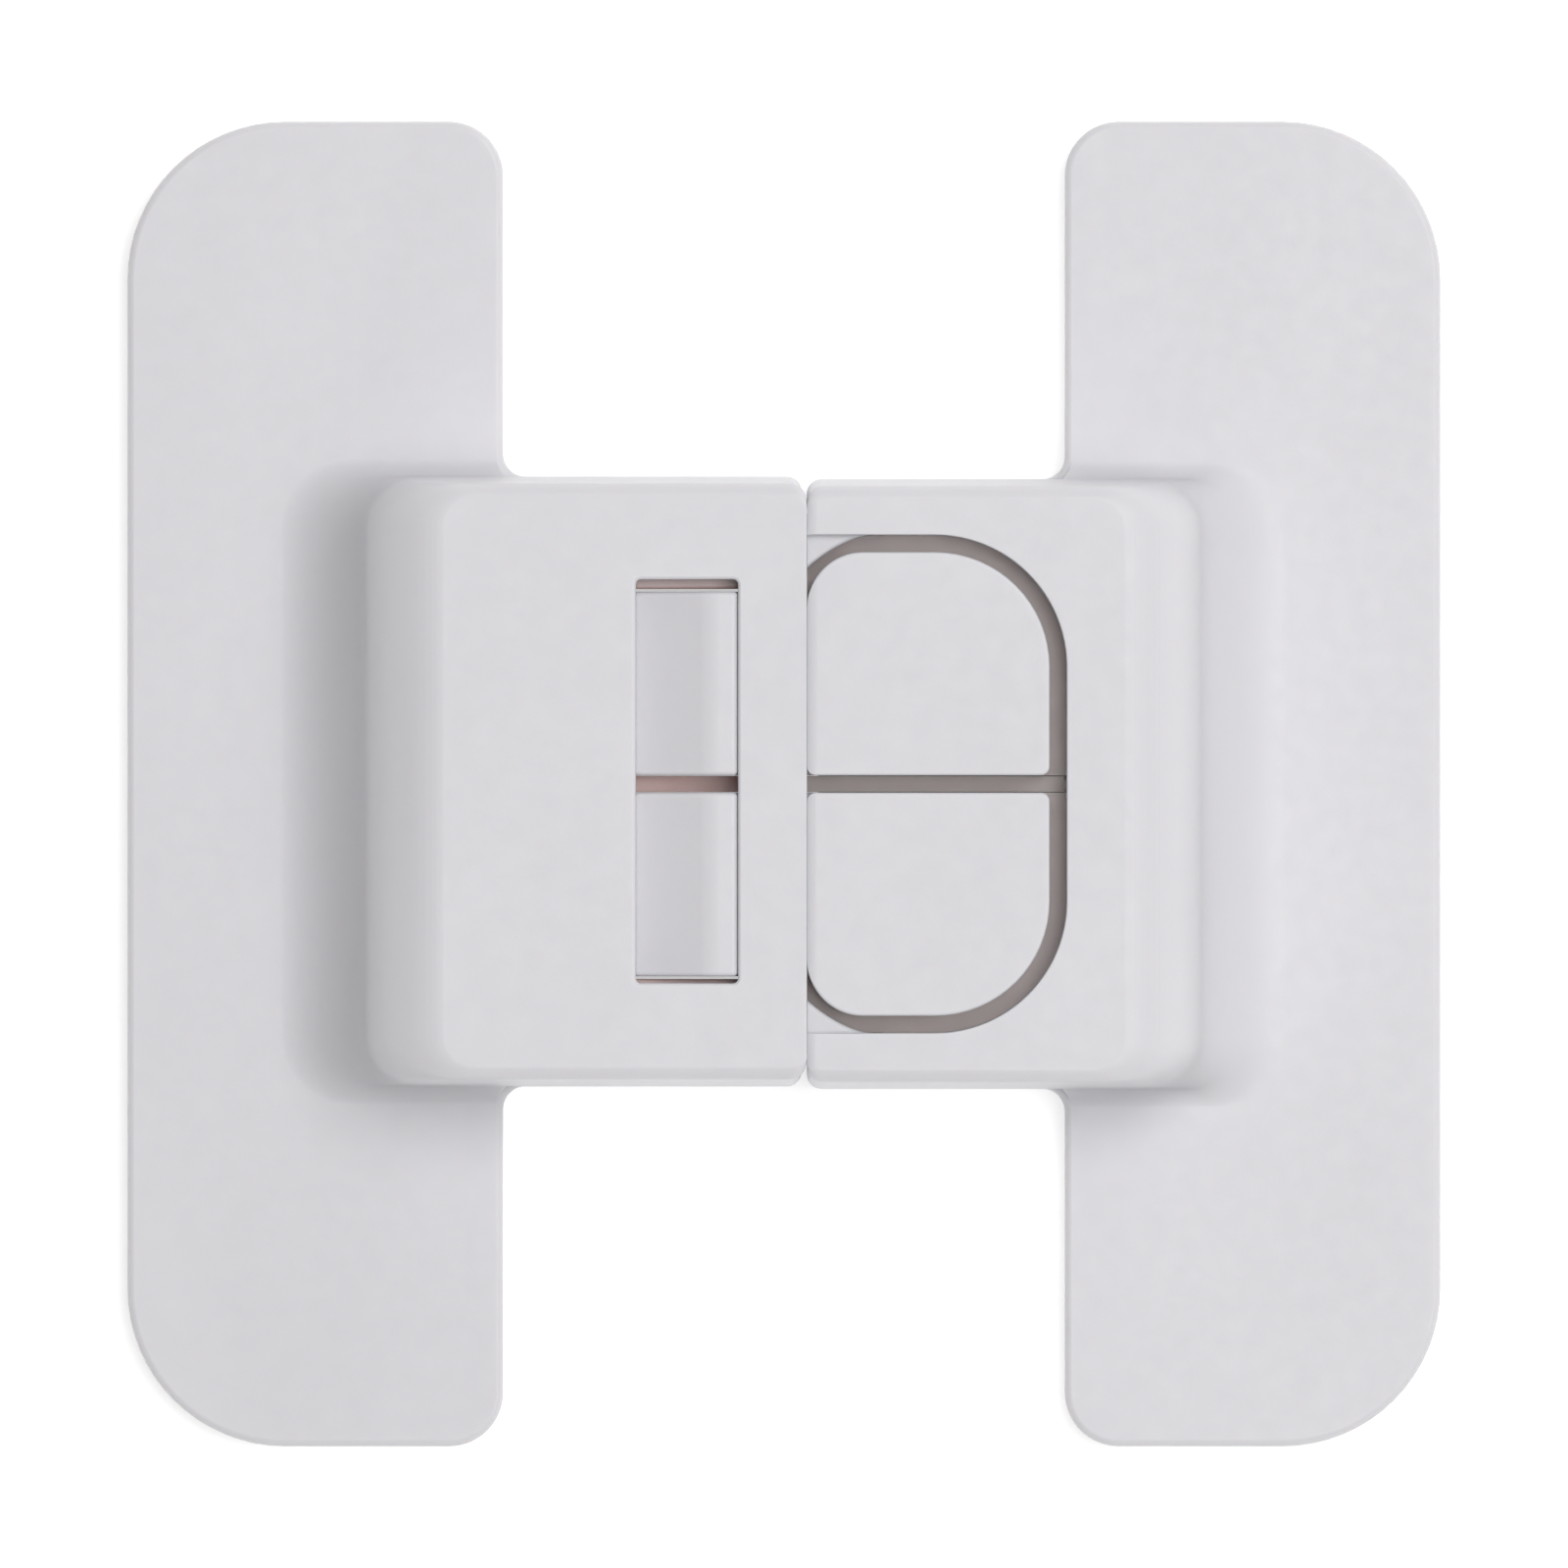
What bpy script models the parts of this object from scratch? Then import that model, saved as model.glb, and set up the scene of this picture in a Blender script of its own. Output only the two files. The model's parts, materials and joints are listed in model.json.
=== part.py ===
"""Two-button refrigerator lock: a receiver half and a latch half, each stuck to the appliance by a foam pad.

Frame: metres, +Z out of the appliance's surface, +X from the receiver to the latch, +Y up along the plates.
The origin is the middle of the lock, on the surface that the release liners lie on.
"""

import math

import bmesh
import bpy
from mathutils import Matrix, Vector

MM = 0.001

# Plates
LOCK_WIDTH = 90.0 * MM
PLATE_WIDTH = 25.75 * MM
PLATE_LENGTH = 90.8 * MM
PLATE_THICKNESS = 2.4 * MM
PLATE_OUTER_RADIUS = 10.8 * MM
PLATE_INNER_RADIUS = 3.7 * MM
PLATE_EDGE_ROUND = 0.6 * MM
NECK_FILLET = 1.6 * MM

# Foam pads and release liners
LINER_THICKNESS = 0.15 * MM
FOAM_THICKNESS = 1.0 * MM
BOND_GAP = 0.05 * MM
PAD_MARGIN = 0.9 * MM

# Raised housings
LOCK_HEIGHT = 19.0 * MM
HOUSING_BREADTH = 41.8 * MM
HOUSING_WALL = 2.0 * MM
END_ROUND = 5.7 * MM
END_RISE = 7.5 * MM
END_FILLET = 5.5 * MM
SIDE_FILLET = 3.0 * MM
TOP_EDGE_ROUND = 1.0 * MM
CORNER_ROUND = 2.2 * MM
SEAM_OFFSET = 1.67 * MM
SEAM_GAP = 0.3 * MM

# Receiver window
WINDOW_LENGTH = 7.1 * MM
WINDOW_BREADTH = 27.8 * MM
WINDOW_TO_SEAM = 4.8 * MM
WINDOW_CORNER = 0.5 * MM
WINDOW_OFFSET = 0.25 * MM

# Button opening and buttons
BUTTON_LENGTH = 16.1 * MM
BUTTON_BREADTH = 15.2 * MM
BUTTON_PROUD = 0.1 * MM
BUTTON_SEAM_GAP = 0.45 * MM
BUTTON_GAP = 1.2 * MM
CENTRE_GAP = 1.4 * MM
BUTTON_FRONT_RADIUS = 3.8 * MM
BUTTON_BACK_RADIUS = 7.8 * MM
BUTTON_INNER_RADIUS = 0.6 * MM
BUTTON_EDGE_ROUND = 0.3 * MM
FLANGE_LIP = 2.1 * MM
FLANGE_FLOOR = 0.7 * MM
FLANGE_START = 4.6 * MM

# Latch levers
LEVER_BREADTH = 12.5 * MM
LEVER_THICKNESS = 2.8 * MM
HOOK_DEPTH = 0.5 * MM
HOOK_CLEARANCE = 0.12 * MM
HOOK_CREST = 1.0 * MM
HOOK_RAMP = 4.6 * MM
HOOK_EDGE_ROUND = 0.7 * MM
LEVER_NOSE = 2.0 * MM
NOSE_DROP = 1.0 * MM
PRESS_ANGLE = math.radians(4.2)

# Lever pivot
PIVOT_FROM_BUTTON = 4.9 * MM
END_FROM_PIVOT = 5.5 * MM
PIN_RADIUS = 1.0 * MM
PIN_CLEARANCE = 0.1 * MM
BARREL_WALL = 1.1 * MM
BARREL_GAP = 0.4 * MM
HANGER_LENGTH = 4.2 * MM
CENTRE_HANGER = 2.4 * MM
SIDE_HANGER = 3.4 * MM
HANGER_REACH = 1.4 * MM

# Tongue rails that plug into the receiver
RAIL_REACH = 12.4 * MM
RAIL_WALL = 1.0 * MM
RAIL_CLEARANCE = 0.45 * MM
RAIL_THROAT_GAP = 0.2 * MM
SHOULDER_RISE = 1.3 * MM

# Centre web between the levers
WEB_CLEARANCE = 0.15 * MM
WEB_DROP = 2.7 * MM
WEB_DEPTH = 3.0 * MM
WEB_FOOT_FROM_SEAM = 6.6 * MM
WEB_FOOT_LENGTH = 12.0 * MM

# Return springs
SPRING_RADIUS = 2.5 * MM
SPRING_WIRE = 0.5 * MM
SPRING_TURNS = 7.5
SPRING_END_PITCH = 1.0 * MM
SPRING_SEAT_GAP = 0.1 * MM
SPRING_FROM_SEAM = 9.0 * MM
POST_CLEARANCE = 0.5 * MM
PEG_LENGTH = 1.5 * MM
STOP_GAP = 0.25 * MM

# Base cover and its screws
COVER_THICKNESS = 1.6 * MM
COVER_CLEARANCE = 0.35 * MM
SCREW_RADIUS = 0.85 * MM
SCREW_CLEARANCE = 0.2 * MM
SCREW_LENGTH = 6.5 * MM
SCREW_HEAD_RADIUS = 1.9 * MM
SCREW_HEAD_DEPTH = 1.0 * MM
SCREW_RECESS_LENGTH = 2.0 * MM
SCREW_RECESS_WIDTH = 0.5 * MM
SCREW_RECESS_DEPTH = 0.7 * MM
BOSS_WALL = 1.2 * MM
BOSS_LENGTH = 7.5 * MM
BOSS_INSET = 1.9 * MM
FRONT_SCREW_FROM_SEAM = 5.2 * MM
REAR_SCREW_FROM_SEAM = 16.4 * MM

GAP = 0.3 * MM
BITE = 0.02 * MM
CUT = 1.0 * MM

# Heights above the appliance's surface
FOAM_BOTTOM = LINER_THICKNESS + BOND_GAP
PLATE_BOTTOM = FOAM_BOTTOM + FOAM_THICKNESS + BOND_GAP
PLATE_TOP = PLATE_BOTTOM + PLATE_THICKNESS
CEILING = LOCK_HEIGHT - HOUSING_WALL
LEVER_TOP = CEILING - GAP
LEVER_BOTTOM = LEVER_TOP - LEVER_THICKNESS
HOOK_TOP = LOCK_HEIGHT - HOOK_DEPTH
BUTTON_TOP = LOCK_HEIGHT + BUTTON_PROUD
COVER_TOP = PLATE_BOTTOM + COVER_THICKNESS
BORE_RADIUS = PIN_RADIUS + PIN_CLEARANCE
BARREL_RADIUS = BORE_RADIUS + BARREL_WALL
PIVOT_Z = CEILING - GAP - BARREL_RADIUS

# Places along X
PLATE_INNER_X = LOCK_WIDTH / 2 - PLATE_WIDTH
RECEIVER_MOUTH_X = SEAM_OFFSET
LATCH_FACE_X = SEAM_OFFSET + SEAM_GAP
WINDOW_RIGHT_X = RECEIVER_MOUTH_X - WINDOW_TO_SEAM
WINDOW_LEFT_X = WINDOW_RIGHT_X - WINDOW_LENGTH
HOOK_FACE_X = WINDOW_RIGHT_X - HOOK_CLEARANCE
LEVER_TIP_X = WINDOW_LEFT_X - LEVER_NOSE
BUTTON_LEFT_X = SEAM_OFFSET + BUTTON_SEAM_GAP
BUTTON_RIGHT_X = BUTTON_LEFT_X + BUTTON_LENGTH
OPENING_RIGHT_X = BUTTON_RIGHT_X + BUTTON_GAP
PIVOT_X = BUTTON_RIGHT_X + PIVOT_FROM_BUTTON
HOUSING_END_X = PIVOT_X + END_FROM_PIVOT
SPRING_X = SEAM_OFFSET + SPRING_FROM_SEAM
RAIL_TIP_X = SEAM_OFFSET - RAIL_REACH
FLANGE_LEFT_X = BUTTON_LEFT_X + FLANGE_START
RAIL_ROOT_X = FLANGE_LEFT_X - 2 * GAP

# Places along Y, on the upper side
LEVER_INNER_Y = CENTRE_GAP / 2
LEVER_OUTER_Y = LEVER_INNER_Y + LEVER_BREADTH
LEVER_MIDDLE_Y = (LEVER_INNER_Y + LEVER_OUTER_Y) / 2
BUTTON_OUTER_Y = LEVER_INNER_Y + BUTTON_BREADTH
OPENING_OUTER_Y = BUTTON_OUTER_Y + BUTTON_GAP
HOUSING_HALF = HOUSING_BREADTH / 2
CAVITY_HALF = HOUSING_HALF - HOUSING_WALL
RAIL_OUTER_Y = CAVITY_HALF - RAIL_CLEARANCE
RAIL_INNER_Y = LEVER_OUTER_Y + RAIL_THROAT_GAP
SKIRT_LIP = RAIL_OUTER_Y - RAIL_WALL - GAP - BUTTON_OUTER_Y
BARREL_INNER_Y = CENTRE_HANGER / 2 + BARREL_GAP
BARREL_OUTER_Y = CAVITY_HALF - SIDE_HANGER - BARREL_GAP
BOSS_Y = CAVITY_HALF - BOSS_INSET

ARC_STEPS = 8
SMALL_ARC_STEPS = 4
ROUND_SIDES = 32
SPRING_POINTS = 10
MERGE = 0.00001

WHITE = (0.80, 0.80, 0.82)
STEEL = (0.62, 0.62, 0.60)
FOAM = (0.83, 0.83, 0.80)
FILM = (0.62, 0.10, 0.08)


def clear_scene():
    for obj in list(bpy.data.objects):
        bpy.data.objects.remove(obj, do_unlink=True)


def make_collection(name):
    collection = bpy.data.collections.new(name)
    bpy.context.scene.collection.children.link(collection)
    return collection


def make_material(name, colour, roughness, metallic=0.0):
    material = bpy.data.materials.new(name)
    material.use_nodes = True
    shader = material.node_tree.nodes["Principled BSDF"]
    shader.inputs["Base Color"].default_value = (*colour, 1.0)
    shader.inputs["Roughness"].default_value = roughness
    shader.inputs["Metallic"].default_value = metallic
    return material


def place(obj, collection):
    for old in list(obj.users_collection):
        old.objects.unlink(obj)
    collection.objects.link(obj)
    return obj


def finish(obj, collection, material):
    """Puts a finished piece in the lock's collection, with its material and smooth round faces."""
    place(obj, collection)
    obj.data.materials.clear()
    obj.data.materials.append(material)
    if obj.type == "MESH":
        obj.data.shade_smooth()
        obj.data.set_sharp_from_angle(angle=math.radians(30))
    return obj


def hide(obj, collection):
    """Makes obj a helper that is neither rendered nor built."""
    place(obj, collection)
    obj.hide_render = True
    obj.display_type = "WIRE"
    return obj


def mesh_object(name, bm):
    bmesh.ops.remove_doubles(bm, verts=bm.verts, dist=MERGE)
    bmesh.ops.recalc_face_normals(bm, faces=bm.faces)
    mesh = bpy.data.meshes.new(name)
    bm.to_mesh(mesh)
    bm.free()
    obj = bpy.data.objects.new(name, mesh)
    bpy.context.scene.collection.objects.link(obj)
    return obj


def arc(centre, radius, start, end, steps):
    """Points of a circular arc in a plane, angles in degrees, both ends included."""
    angles = [math.radians(start + (end - start) * i / steps) for i in range(steps + 1)]
    return [(centre[0] + radius * math.cos(a), centre[1] + radius * math.sin(a)) for a in angles]


def solid_outline(name, points, low, high, edge_round=0.0):
    """A flat outline in XY made solid from low to high, its rims rounded by edge_round."""
    curve = bpy.data.curves.new(name, "CURVE")
    curve.dimensions = "2D"
    curve.fill_mode = "BOTH"
    curve.extrude = (high - low) / 2 - edge_round
    curve.bevel_depth = edge_round
    curve.bevel_resolution = 1
    curve.offset = -edge_round
    spline = curve.splines.new("POLY")
    spline.points.add(len(points) - 1)
    for point, (x, y) in zip(spline.points, points):
        point.co = (x, y, 0, 1)
    spline.use_cyclic_u = True
    obj = bpy.data.objects.new(name, curve)
    obj.location.z = (low + high) / 2
    bpy.context.scene.collection.objects.link(obj)
    return to_mesh(obj)


def to_mesh(obj):
    """Turns a curve object into a mesh object of the same name, with its caps welded on."""
    bpy.context.view_layer.update()
    graph = bpy.context.evaluated_depsgraph_get()
    mesh = bpy.data.meshes.new_from_object(obj.evaluated_get(graph))
    matrix = obj.matrix_world.copy()
    name = obj.name
    bpy.data.objects.remove(obj, do_unlink=True)
    bm = bmesh.new()
    bm.from_mesh(mesh)
    bm.transform(matrix)
    bpy.data.meshes.remove(mesh)
    return mesh_object(name, bm)


def solid_profile(name, points, low_y, high_y):
    """An outline in XZ made solid along Y: the flat outline is made level and turned to stand up."""
    obj = solid_outline(name, points, -high_y, -low_y)
    obj.data.transform(Matrix.Rotation(math.radians(90), 4, "X"))
    return obj


def box(name, low, high):
    bm = bmesh.new()
    bmesh.ops.create_cube(bm, size=1)
    size = Vector(high) - Vector(low)
    middle = (Vector(high) + Vector(low)) / 2
    bmesh.ops.scale(bm, vec=size, verts=bm.verts)
    bmesh.ops.translate(bm, vec=middle, verts=bm.verts)
    return mesh_object(name, bm)


def cylinder(name, radius, start, end):
    """A round bar between two points."""
    bm = bmesh.new()
    axis = Vector(end) - Vector(start)
    bmesh.ops.create_cone(
        bm,
        cap_ends=True,
        segments=ROUND_SIDES,
        radius1=radius,
        radius2=radius,
        depth=axis.length,
    )
    turn = axis.to_track_quat("Z", "Y").to_matrix().to_4x4()
    bm.transform(Matrix.Translation((Vector(start) + Vector(end)) / 2) @ turn)
    return mesh_object(name, bm)


def turned(name, profile):
    """A solid turned round Z from (radius, height) points that run from its top to its bottom."""
    bm = bmesh.new()
    verts = [bm.verts.new((radius, 0, z)) for radius, z in profile]
    for first, second in zip(verts, verts[1:]):
        bm.edges.new((first, second))
    mesh = bpy.data.meshes.new(name)
    bm.to_mesh(mesh)
    bm.free()
    obj = bpy.data.objects.new(name, mesh)
    bpy.context.scene.collection.objects.link(obj)
    turn = obj.modifiers.new("turn", "SCREW")
    turn.steps = turn.render_steps = ROUND_SIDES // 2
    turn.use_merge_vertices = True
    turn.merge_threshold = MERGE
    return to_mesh(obj)


def loft(name, loops):
    """A closed solid through loops of equal length."""
    bm = bmesh.new()
    edges = []
    for loop in loops:
        verts = [bm.verts.new(point) for point in loop]
        ring = [bm.edges.new((verts[i - 1], verts[i])) for i in range(len(verts))]
        edges.append(ring)
    for lower, upper in zip(edges, edges[1:]):
        bmesh.ops.bridge_loops(bm, edges=lower + upper)
    for ring in (edges[0], edges[-1]):
        bmesh.ops.contextual_create(bm, geom=ring)
    return mesh_object(name, bm)


def boolean(obj, other, operation, helpers):
    """Cuts, joins or intersects obj with a helper mesh, with the result applied."""
    modifier = obj.modifiers.new(operation.lower(), "BOOLEAN")
    modifier.operation = operation
    modifier.object = other
    modifier.solver = "EXACT"
    hide(other, helpers)
    bpy.context.view_layer.update()
    graph = bpy.context.evaluated_depsgraph_get()
    mesh = bpy.data.meshes.new_from_object(obj.evaluated_get(graph))
    obj.modifiers.clear()
    obj.data = mesh
    bpy.data.objects.remove(other, do_unlink=True)
    return obj


def join(obj, helpers, *others):
    for other in others:
        boolean(obj, other, "UNION", helpers)
    return obj


def cut(obj, helpers, *others):
    for other in others:
        boolean(obj, other, "DIFFERENCE", helpers)
    return obj


def mirrored_x(points):
    """The outline on the other half of the lock, still counter-clockwise."""
    return [(-x, y) for x, y in reversed(points)]


def plate_outline(inset=0.0, neck=True):
    """The latch half's plate, counter-clockwise, with a neck that runs in under the housing."""
    left = PLATE_INNER_X + inset
    right = LOCK_WIDTH / 2 - inset
    top = PLATE_LENGTH / 2 - inset
    outer = PLATE_OUTER_RADIUS - inset
    inner = PLATE_INNER_RADIUS - inset
    points = arc((right - outer, outer - top), outer, -90, 0, ARC_STEPS)
    points += arc((right - outer, top - outer), outer, 0, 90, ARC_STEPS)
    points += arc((left + inner, top - inner), inner, 90, 180, ARC_STEPS)
    if neck:
        upper = arc((left - NECK_FILLET, HOUSING_HALF + NECK_FILLET), NECK_FILLET, 0, -90, SMALL_ARC_STEPS)
        upper += [(left - 2 * NECK_FILLET, HOUSING_HALF - NECK_FILLET)]
        points += upper + [(x, -y) for x, y in reversed(upper)]
    points += arc((left + inner, inner - top), inner, 180, 270, ARC_STEPS)
    return points


def convex_inset(z, top, reach, rise):
    """How far a top edge, rounded over rise in height and reach in plan, has drawn in at height z."""
    share = max(0.0, z - (top - rise)) / rise
    return reach * (1 - math.sqrt(max(0.0, 1 - share**2)))


def fillet_outset(z, foot, radius):
    """How far a hollow fillet still stands out from its wall at height z."""
    drop = max(0.0, radius - (z - foot))
    return radius - math.sqrt(max(0.0, radius**2 - drop**2))


def housing_loop(z, open_x, end_x, half, end_inset, side_inset, corner):
    """One level of a housing: a round-cornered rectangle from its open end to its closed end."""
    right = end_x - end_inset
    side = half - side_inset
    small = TOP_EDGE_ROUND
    points = arc((right - corner, corner - side), corner, -90, 0, SMALL_ARC_STEPS)
    points += arc((right - corner, side - corner), corner, 0, 90, SMALL_ARC_STEPS)
    points += arc((open_x + small, side - small), small, 90, 180, SMALL_ARC_STEPS)
    points += arc((open_x + small, small - side), small, 180, 270, SMALL_ARC_STEPS)
    return [(x, y, z) for x, y in points]


def housing_block(name, open_x):
    """The housing's outer form, square at the open end and rounded over the closed end."""
    end_levels = [LOCK_HEIGHT - END_RISE * (1 - math.sin(a)) for a in steps_of_quarter(ARC_STEPS)]
    edge_angles = steps_of_quarter(SMALL_ARC_STEPS)
    edge_levels = [LOCK_HEIGHT - TOP_EDGE_ROUND * (1 - math.sin(a)) for a in edge_angles]
    low_levels = [z for z in end_levels if z < edge_levels[0] - GAP]
    loops = []
    for z in [PLATE_BOTTOM, *low_levels, *edge_levels]:
        end_inset = convex_inset(z, LOCK_HEIGHT, END_ROUND, END_RISE)
        side_inset = convex_inset(z, LOCK_HEIGHT, TOP_EDGE_ROUND, TOP_EDGE_ROUND)
        corner = CORNER_ROUND - side_inset
        loops.append(housing_loop(z, open_x, HOUSING_END_X, HOUSING_HALF, end_inset, side_inset, corner))
    return loft(name, loops)


def steps_of_quarter(steps):
    return [math.pi / 2 * i / steps for i in range(steps + 1)]


def fillet_skirt(name, open_x):
    """The hollow fillet between the plate and the housing, kept to what lies over the plate."""
    foot = PLATE_TOP - BITE
    tallest = max(END_FILLET, SIDE_FILLET)
    heights = [foot + tallest * (1 - math.cos(a)) for a in steps_of_quarter(ARC_STEPS)]
    loops = []
    for z in [foot - PLATE_THICKNESS / 2, *heights]:
        end_outset = fillet_outset(max(z, foot), foot, END_FILLET) - BITE
        side_outset = fillet_outset(max(z, foot), foot, SIDE_FILLET) - BITE
        corner = CORNER_ROUND + min(end_outset, side_outset)
        loops.append(housing_loop(z, open_x, HOUSING_END_X, HOUSING_HALF, -end_outset, -side_outset, corner))
    return loft(name, loops)


def housing_cavity(name, open_x):
    """The hollow inside a housing, open below and at the seam, one wall in from the outer form."""
    inner_round = max(END_ROUND - HOUSING_WALL, TOP_EDGE_ROUND)
    levels = [CEILING - inner_round * (1 - math.sin(a)) for a in steps_of_quarter(ARC_STEPS)]
    corner = max(CORNER_ROUND - HOUSING_WALL, TOP_EDGE_ROUND)
    past_x = open_x - 2 * TOP_EDGE_ROUND
    loops = []
    for z in [PLATE_BOTTOM - CUT, *levels]:
        end_inset = HOUSING_WALL + convex_inset(z, CEILING, inner_round, inner_round)
        loops.append(housing_loop(z, past_x, HOUSING_END_X, HOUSING_HALF, end_inset, HOUSING_WALL, corner))
    return loft(name, loops)


def half_body(name, open_x, helpers):
    """A plate and its raised housing as one moulded shell, drawn on the latch side."""
    body = solid_outline(name, plate_outline(), PLATE_BOTTOM, PLATE_TOP, PLATE_EDGE_ROUND)
    skirt = fillet_skirt("skirt", open_x)
    prism_top = PLATE_TOP + END_FILLET + SIDE_FILLET
    prism = solid_outline("prism", plate_outline(inset=BITE), PLATE_BOTTOM, prism_top)
    boolean(skirt, prism, "INTERSECT", helpers)
    join(body, helpers, skirt, housing_block("block", open_x))
    return cut(body, helpers, housing_cavity("cavity", open_x))


def flip_to_receiver(obj):
    """Mirrors a shape drawn on the latch side onto the receiver side."""
    bm = bmesh.new()
    bm.from_mesh(obj.data)
    bmesh.ops.scale(bm, vec=(-1, 1, 1), verts=bm.verts)
    bmesh.ops.reverse_faces(bm, faces=bm.faces)
    bm.to_mesh(obj.data)
    bm.free()
    return obj


def build_receiver_body(helpers):
    """The receiver: a plate and a housing open below and at the seam, with the window for the hooks."""
    body = flip_to_receiver(half_body("receiver_body", -RECEIVER_MOUTH_X, helpers))
    left = WINDOW_LEFT_X + WINDOW_CORNER
    right = WINDOW_RIGHT_X - WINDOW_CORNER
    top = WINDOW_OFFSET + WINDOW_BREADTH / 2 - WINDOW_CORNER
    bottom = WINDOW_OFFSET - WINDOW_BREADTH / 2 + WINDOW_CORNER
    outline = []
    for turn, centre in enumerate(((right, bottom), (right, top), (left, top), (left, bottom))):
        outline += arc(centre, WINDOW_CORNER, 90 * turn - 90, 90 * turn, SMALL_ARC_STEPS)
    window = solid_outline("window", outline, CEILING - CUT, LOCK_HEIGHT + CUT)
    return cut(body, helpers, window)


def opening_outline():
    """The D-shaped button opening, counter-clockwise and open past the latch's face."""
    radius = BUTTON_BACK_RADIUS + BUTTON_GAP
    centre_x = OPENING_RIGHT_X - radius
    centre_y = OPENING_OUTER_Y - radius
    start_x = LATCH_FACE_X - CUT
    points = [(start_x, -OPENING_OUTER_Y)]
    points += arc((centre_x, -centre_y), radius, -90, 0, ARC_STEPS)
    points += arc((centre_x, centre_y), radius, 0, 90, ARC_STEPS)
    return points + [(start_x, OPENING_OUTER_Y)]


def flare_circle():
    """The circle that the rails flare along, one gap outside the button's front corner."""
    centre = (BUTTON_LEFT_X + BUTTON_FRONT_RADIUS, BUTTON_OUTER_Y - BUTTON_FRONT_RADIUS)
    return centre, BUTTON_FRONT_RADIUS + BUTTON_GAP


def shoulder_outline():
    """Plan of the raised corner beside the button's front, from the latch's face to the opening's edge."""
    centre, radius = flare_circle()
    face = LATCH_FACE_X + BITE
    start = math.degrees(math.acos((face - centre[0]) / radius))
    flare = arc(centre, radius, start, 90, ARC_STEPS)
    return [(face, RAIL_OUTER_Y), *flare, (centre[0], RAIL_OUTER_Y)]


def rail_outline():
    """Plan of the upper tongue rail: straight, then flaring round the button's front corner."""
    centre, radius = flare_circle()
    throat = math.degrees(math.asin((RAIL_INNER_Y - centre[1]) / radius))
    flare = arc(centre, radius, 180 - throat, 90, ARC_STEPS)
    return [
        (RAIL_TIP_X, RAIL_OUTER_Y),
        (RAIL_TIP_X, RAIL_INNER_Y),
        *flare,
        (centre[0], RAIL_OUTER_Y),
    ]


def tongue_rail():
    """One side of the tongue: a shelf beside the levers, its raised corner and a wall into the housing."""
    shelf = solid_outline("shelf", rail_outline(), LEVER_TOP - RAIL_WALL, LEVER_TOP)
    shoulder_low = LEVER_TOP - RAIL_WALL / 2
    shoulder = solid_outline("shoulder", shoulder_outline(), shoulder_low, LEVER_TOP + SHOULDER_RISE)
    wall_low = (RAIL_TIP_X, RAIL_OUTER_Y - RAIL_WALL, COVER_TOP + 2 * GAP)
    wall_high = (RAIL_ROOT_X, RAIL_OUTER_Y, LEVER_TOP - RAIL_WALL / 2)
    root_low = (LATCH_FACE_X + TOP_EDGE_ROUND, RAIL_OUTER_Y - RAIL_WALL / 2, COVER_TOP + 3 * GAP)
    root_high = (RAIL_ROOT_X - GAP, CAVITY_HALF + HOUSING_WALL / 2, LEVER_TOP - RAIL_WALL / 4)
    return shelf, shoulder, box("wall", wall_low, wall_high), box("root", root_low, root_high)


def mirror_y(obj):
    bm = bmesh.new()
    bm.from_mesh(obj.data)
    bmesh.ops.scale(bm, vec=(1, -1, 1), verts=bm.verts)
    bmesh.ops.reverse_faces(bm, faces=bm.faces)
    bm.to_mesh(obj.data)
    bm.free()
    return obj


def hangers():
    """Three ribs under the housing's top that carry the pivot pin."""
    low_z = PIVOT_Z - PIN_RADIUS - HANGER_REACH
    spans = (
        (-CENTRE_HANGER / 2, CENTRE_HANGER / 2),
        (CAVITY_HALF - SIDE_HANGER, CAVITY_HALF + HOUSING_WALL / 2),
        (-CAVITY_HALF - HOUSING_WALL / 2, SIDE_HANGER - CAVITY_HALF),
    )
    for low_y, high_y in spans:
        low = (PIVOT_X - HANGER_LENGTH / 2, low_y, low_z)
        high = (PIVOT_X + HANGER_LENGTH / 2, high_y, CEILING + HOUSING_WALL / 2)
        yield box("hanger", low, high)


def screw_places():
    reaches = (FRONT_SCREW_FROM_SEAM, REAR_SCREW_FROM_SEAM)
    return [(SEAM_OFFSET + reach, side * BOSS_Y) for side in (1, -1) for reach in reaches]


def build_latch_body(helpers):
    """The latch: a plate and a housing with the button opening, rails, pin hangers and screw bosses."""
    body = half_body("latch_body", LATCH_FACE_X, helpers)
    cut(body, helpers, solid_outline("opening", opening_outline(), CEILING - CUT, LOCK_HEIGHT + CUT))
    for side in (1, -1):
        for piece in tongue_rail():
            join(body, helpers, piece if side > 0 else mirror_y(piece))
    join(body, helpers, *hangers())
    slot = arc((PIVOT_X, PIVOT_Z), BORE_RADIUS, 0, 180, ROUND_SIDES // 2)
    slot += [(PIVOT_X - BORE_RADIUS, PLATE_BOTTOM), (PIVOT_X + BORE_RADIUS, PLATE_BOTTOM)]
    cut(body, helpers, solid_profile("pin_slot", slot, -CAVITY_HALF, CAVITY_HALF))
    boss_low = COVER_TOP + GAP
    for x, y in screw_places():
        pilot = SCREW_RADIUS + PIN_CLEARANCE
        boss_high = boss_low + BOSS_LENGTH
        join(body, helpers, cylinder("boss", pilot + BOSS_WALL, (x, y, boss_low), (x, y, boss_high)))
        cut(body, helpers, cylinder("pilot", pilot, (x, y, boss_low - CUT), (x, y, boss_high - BOSS_WALL)))
    return body


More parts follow.
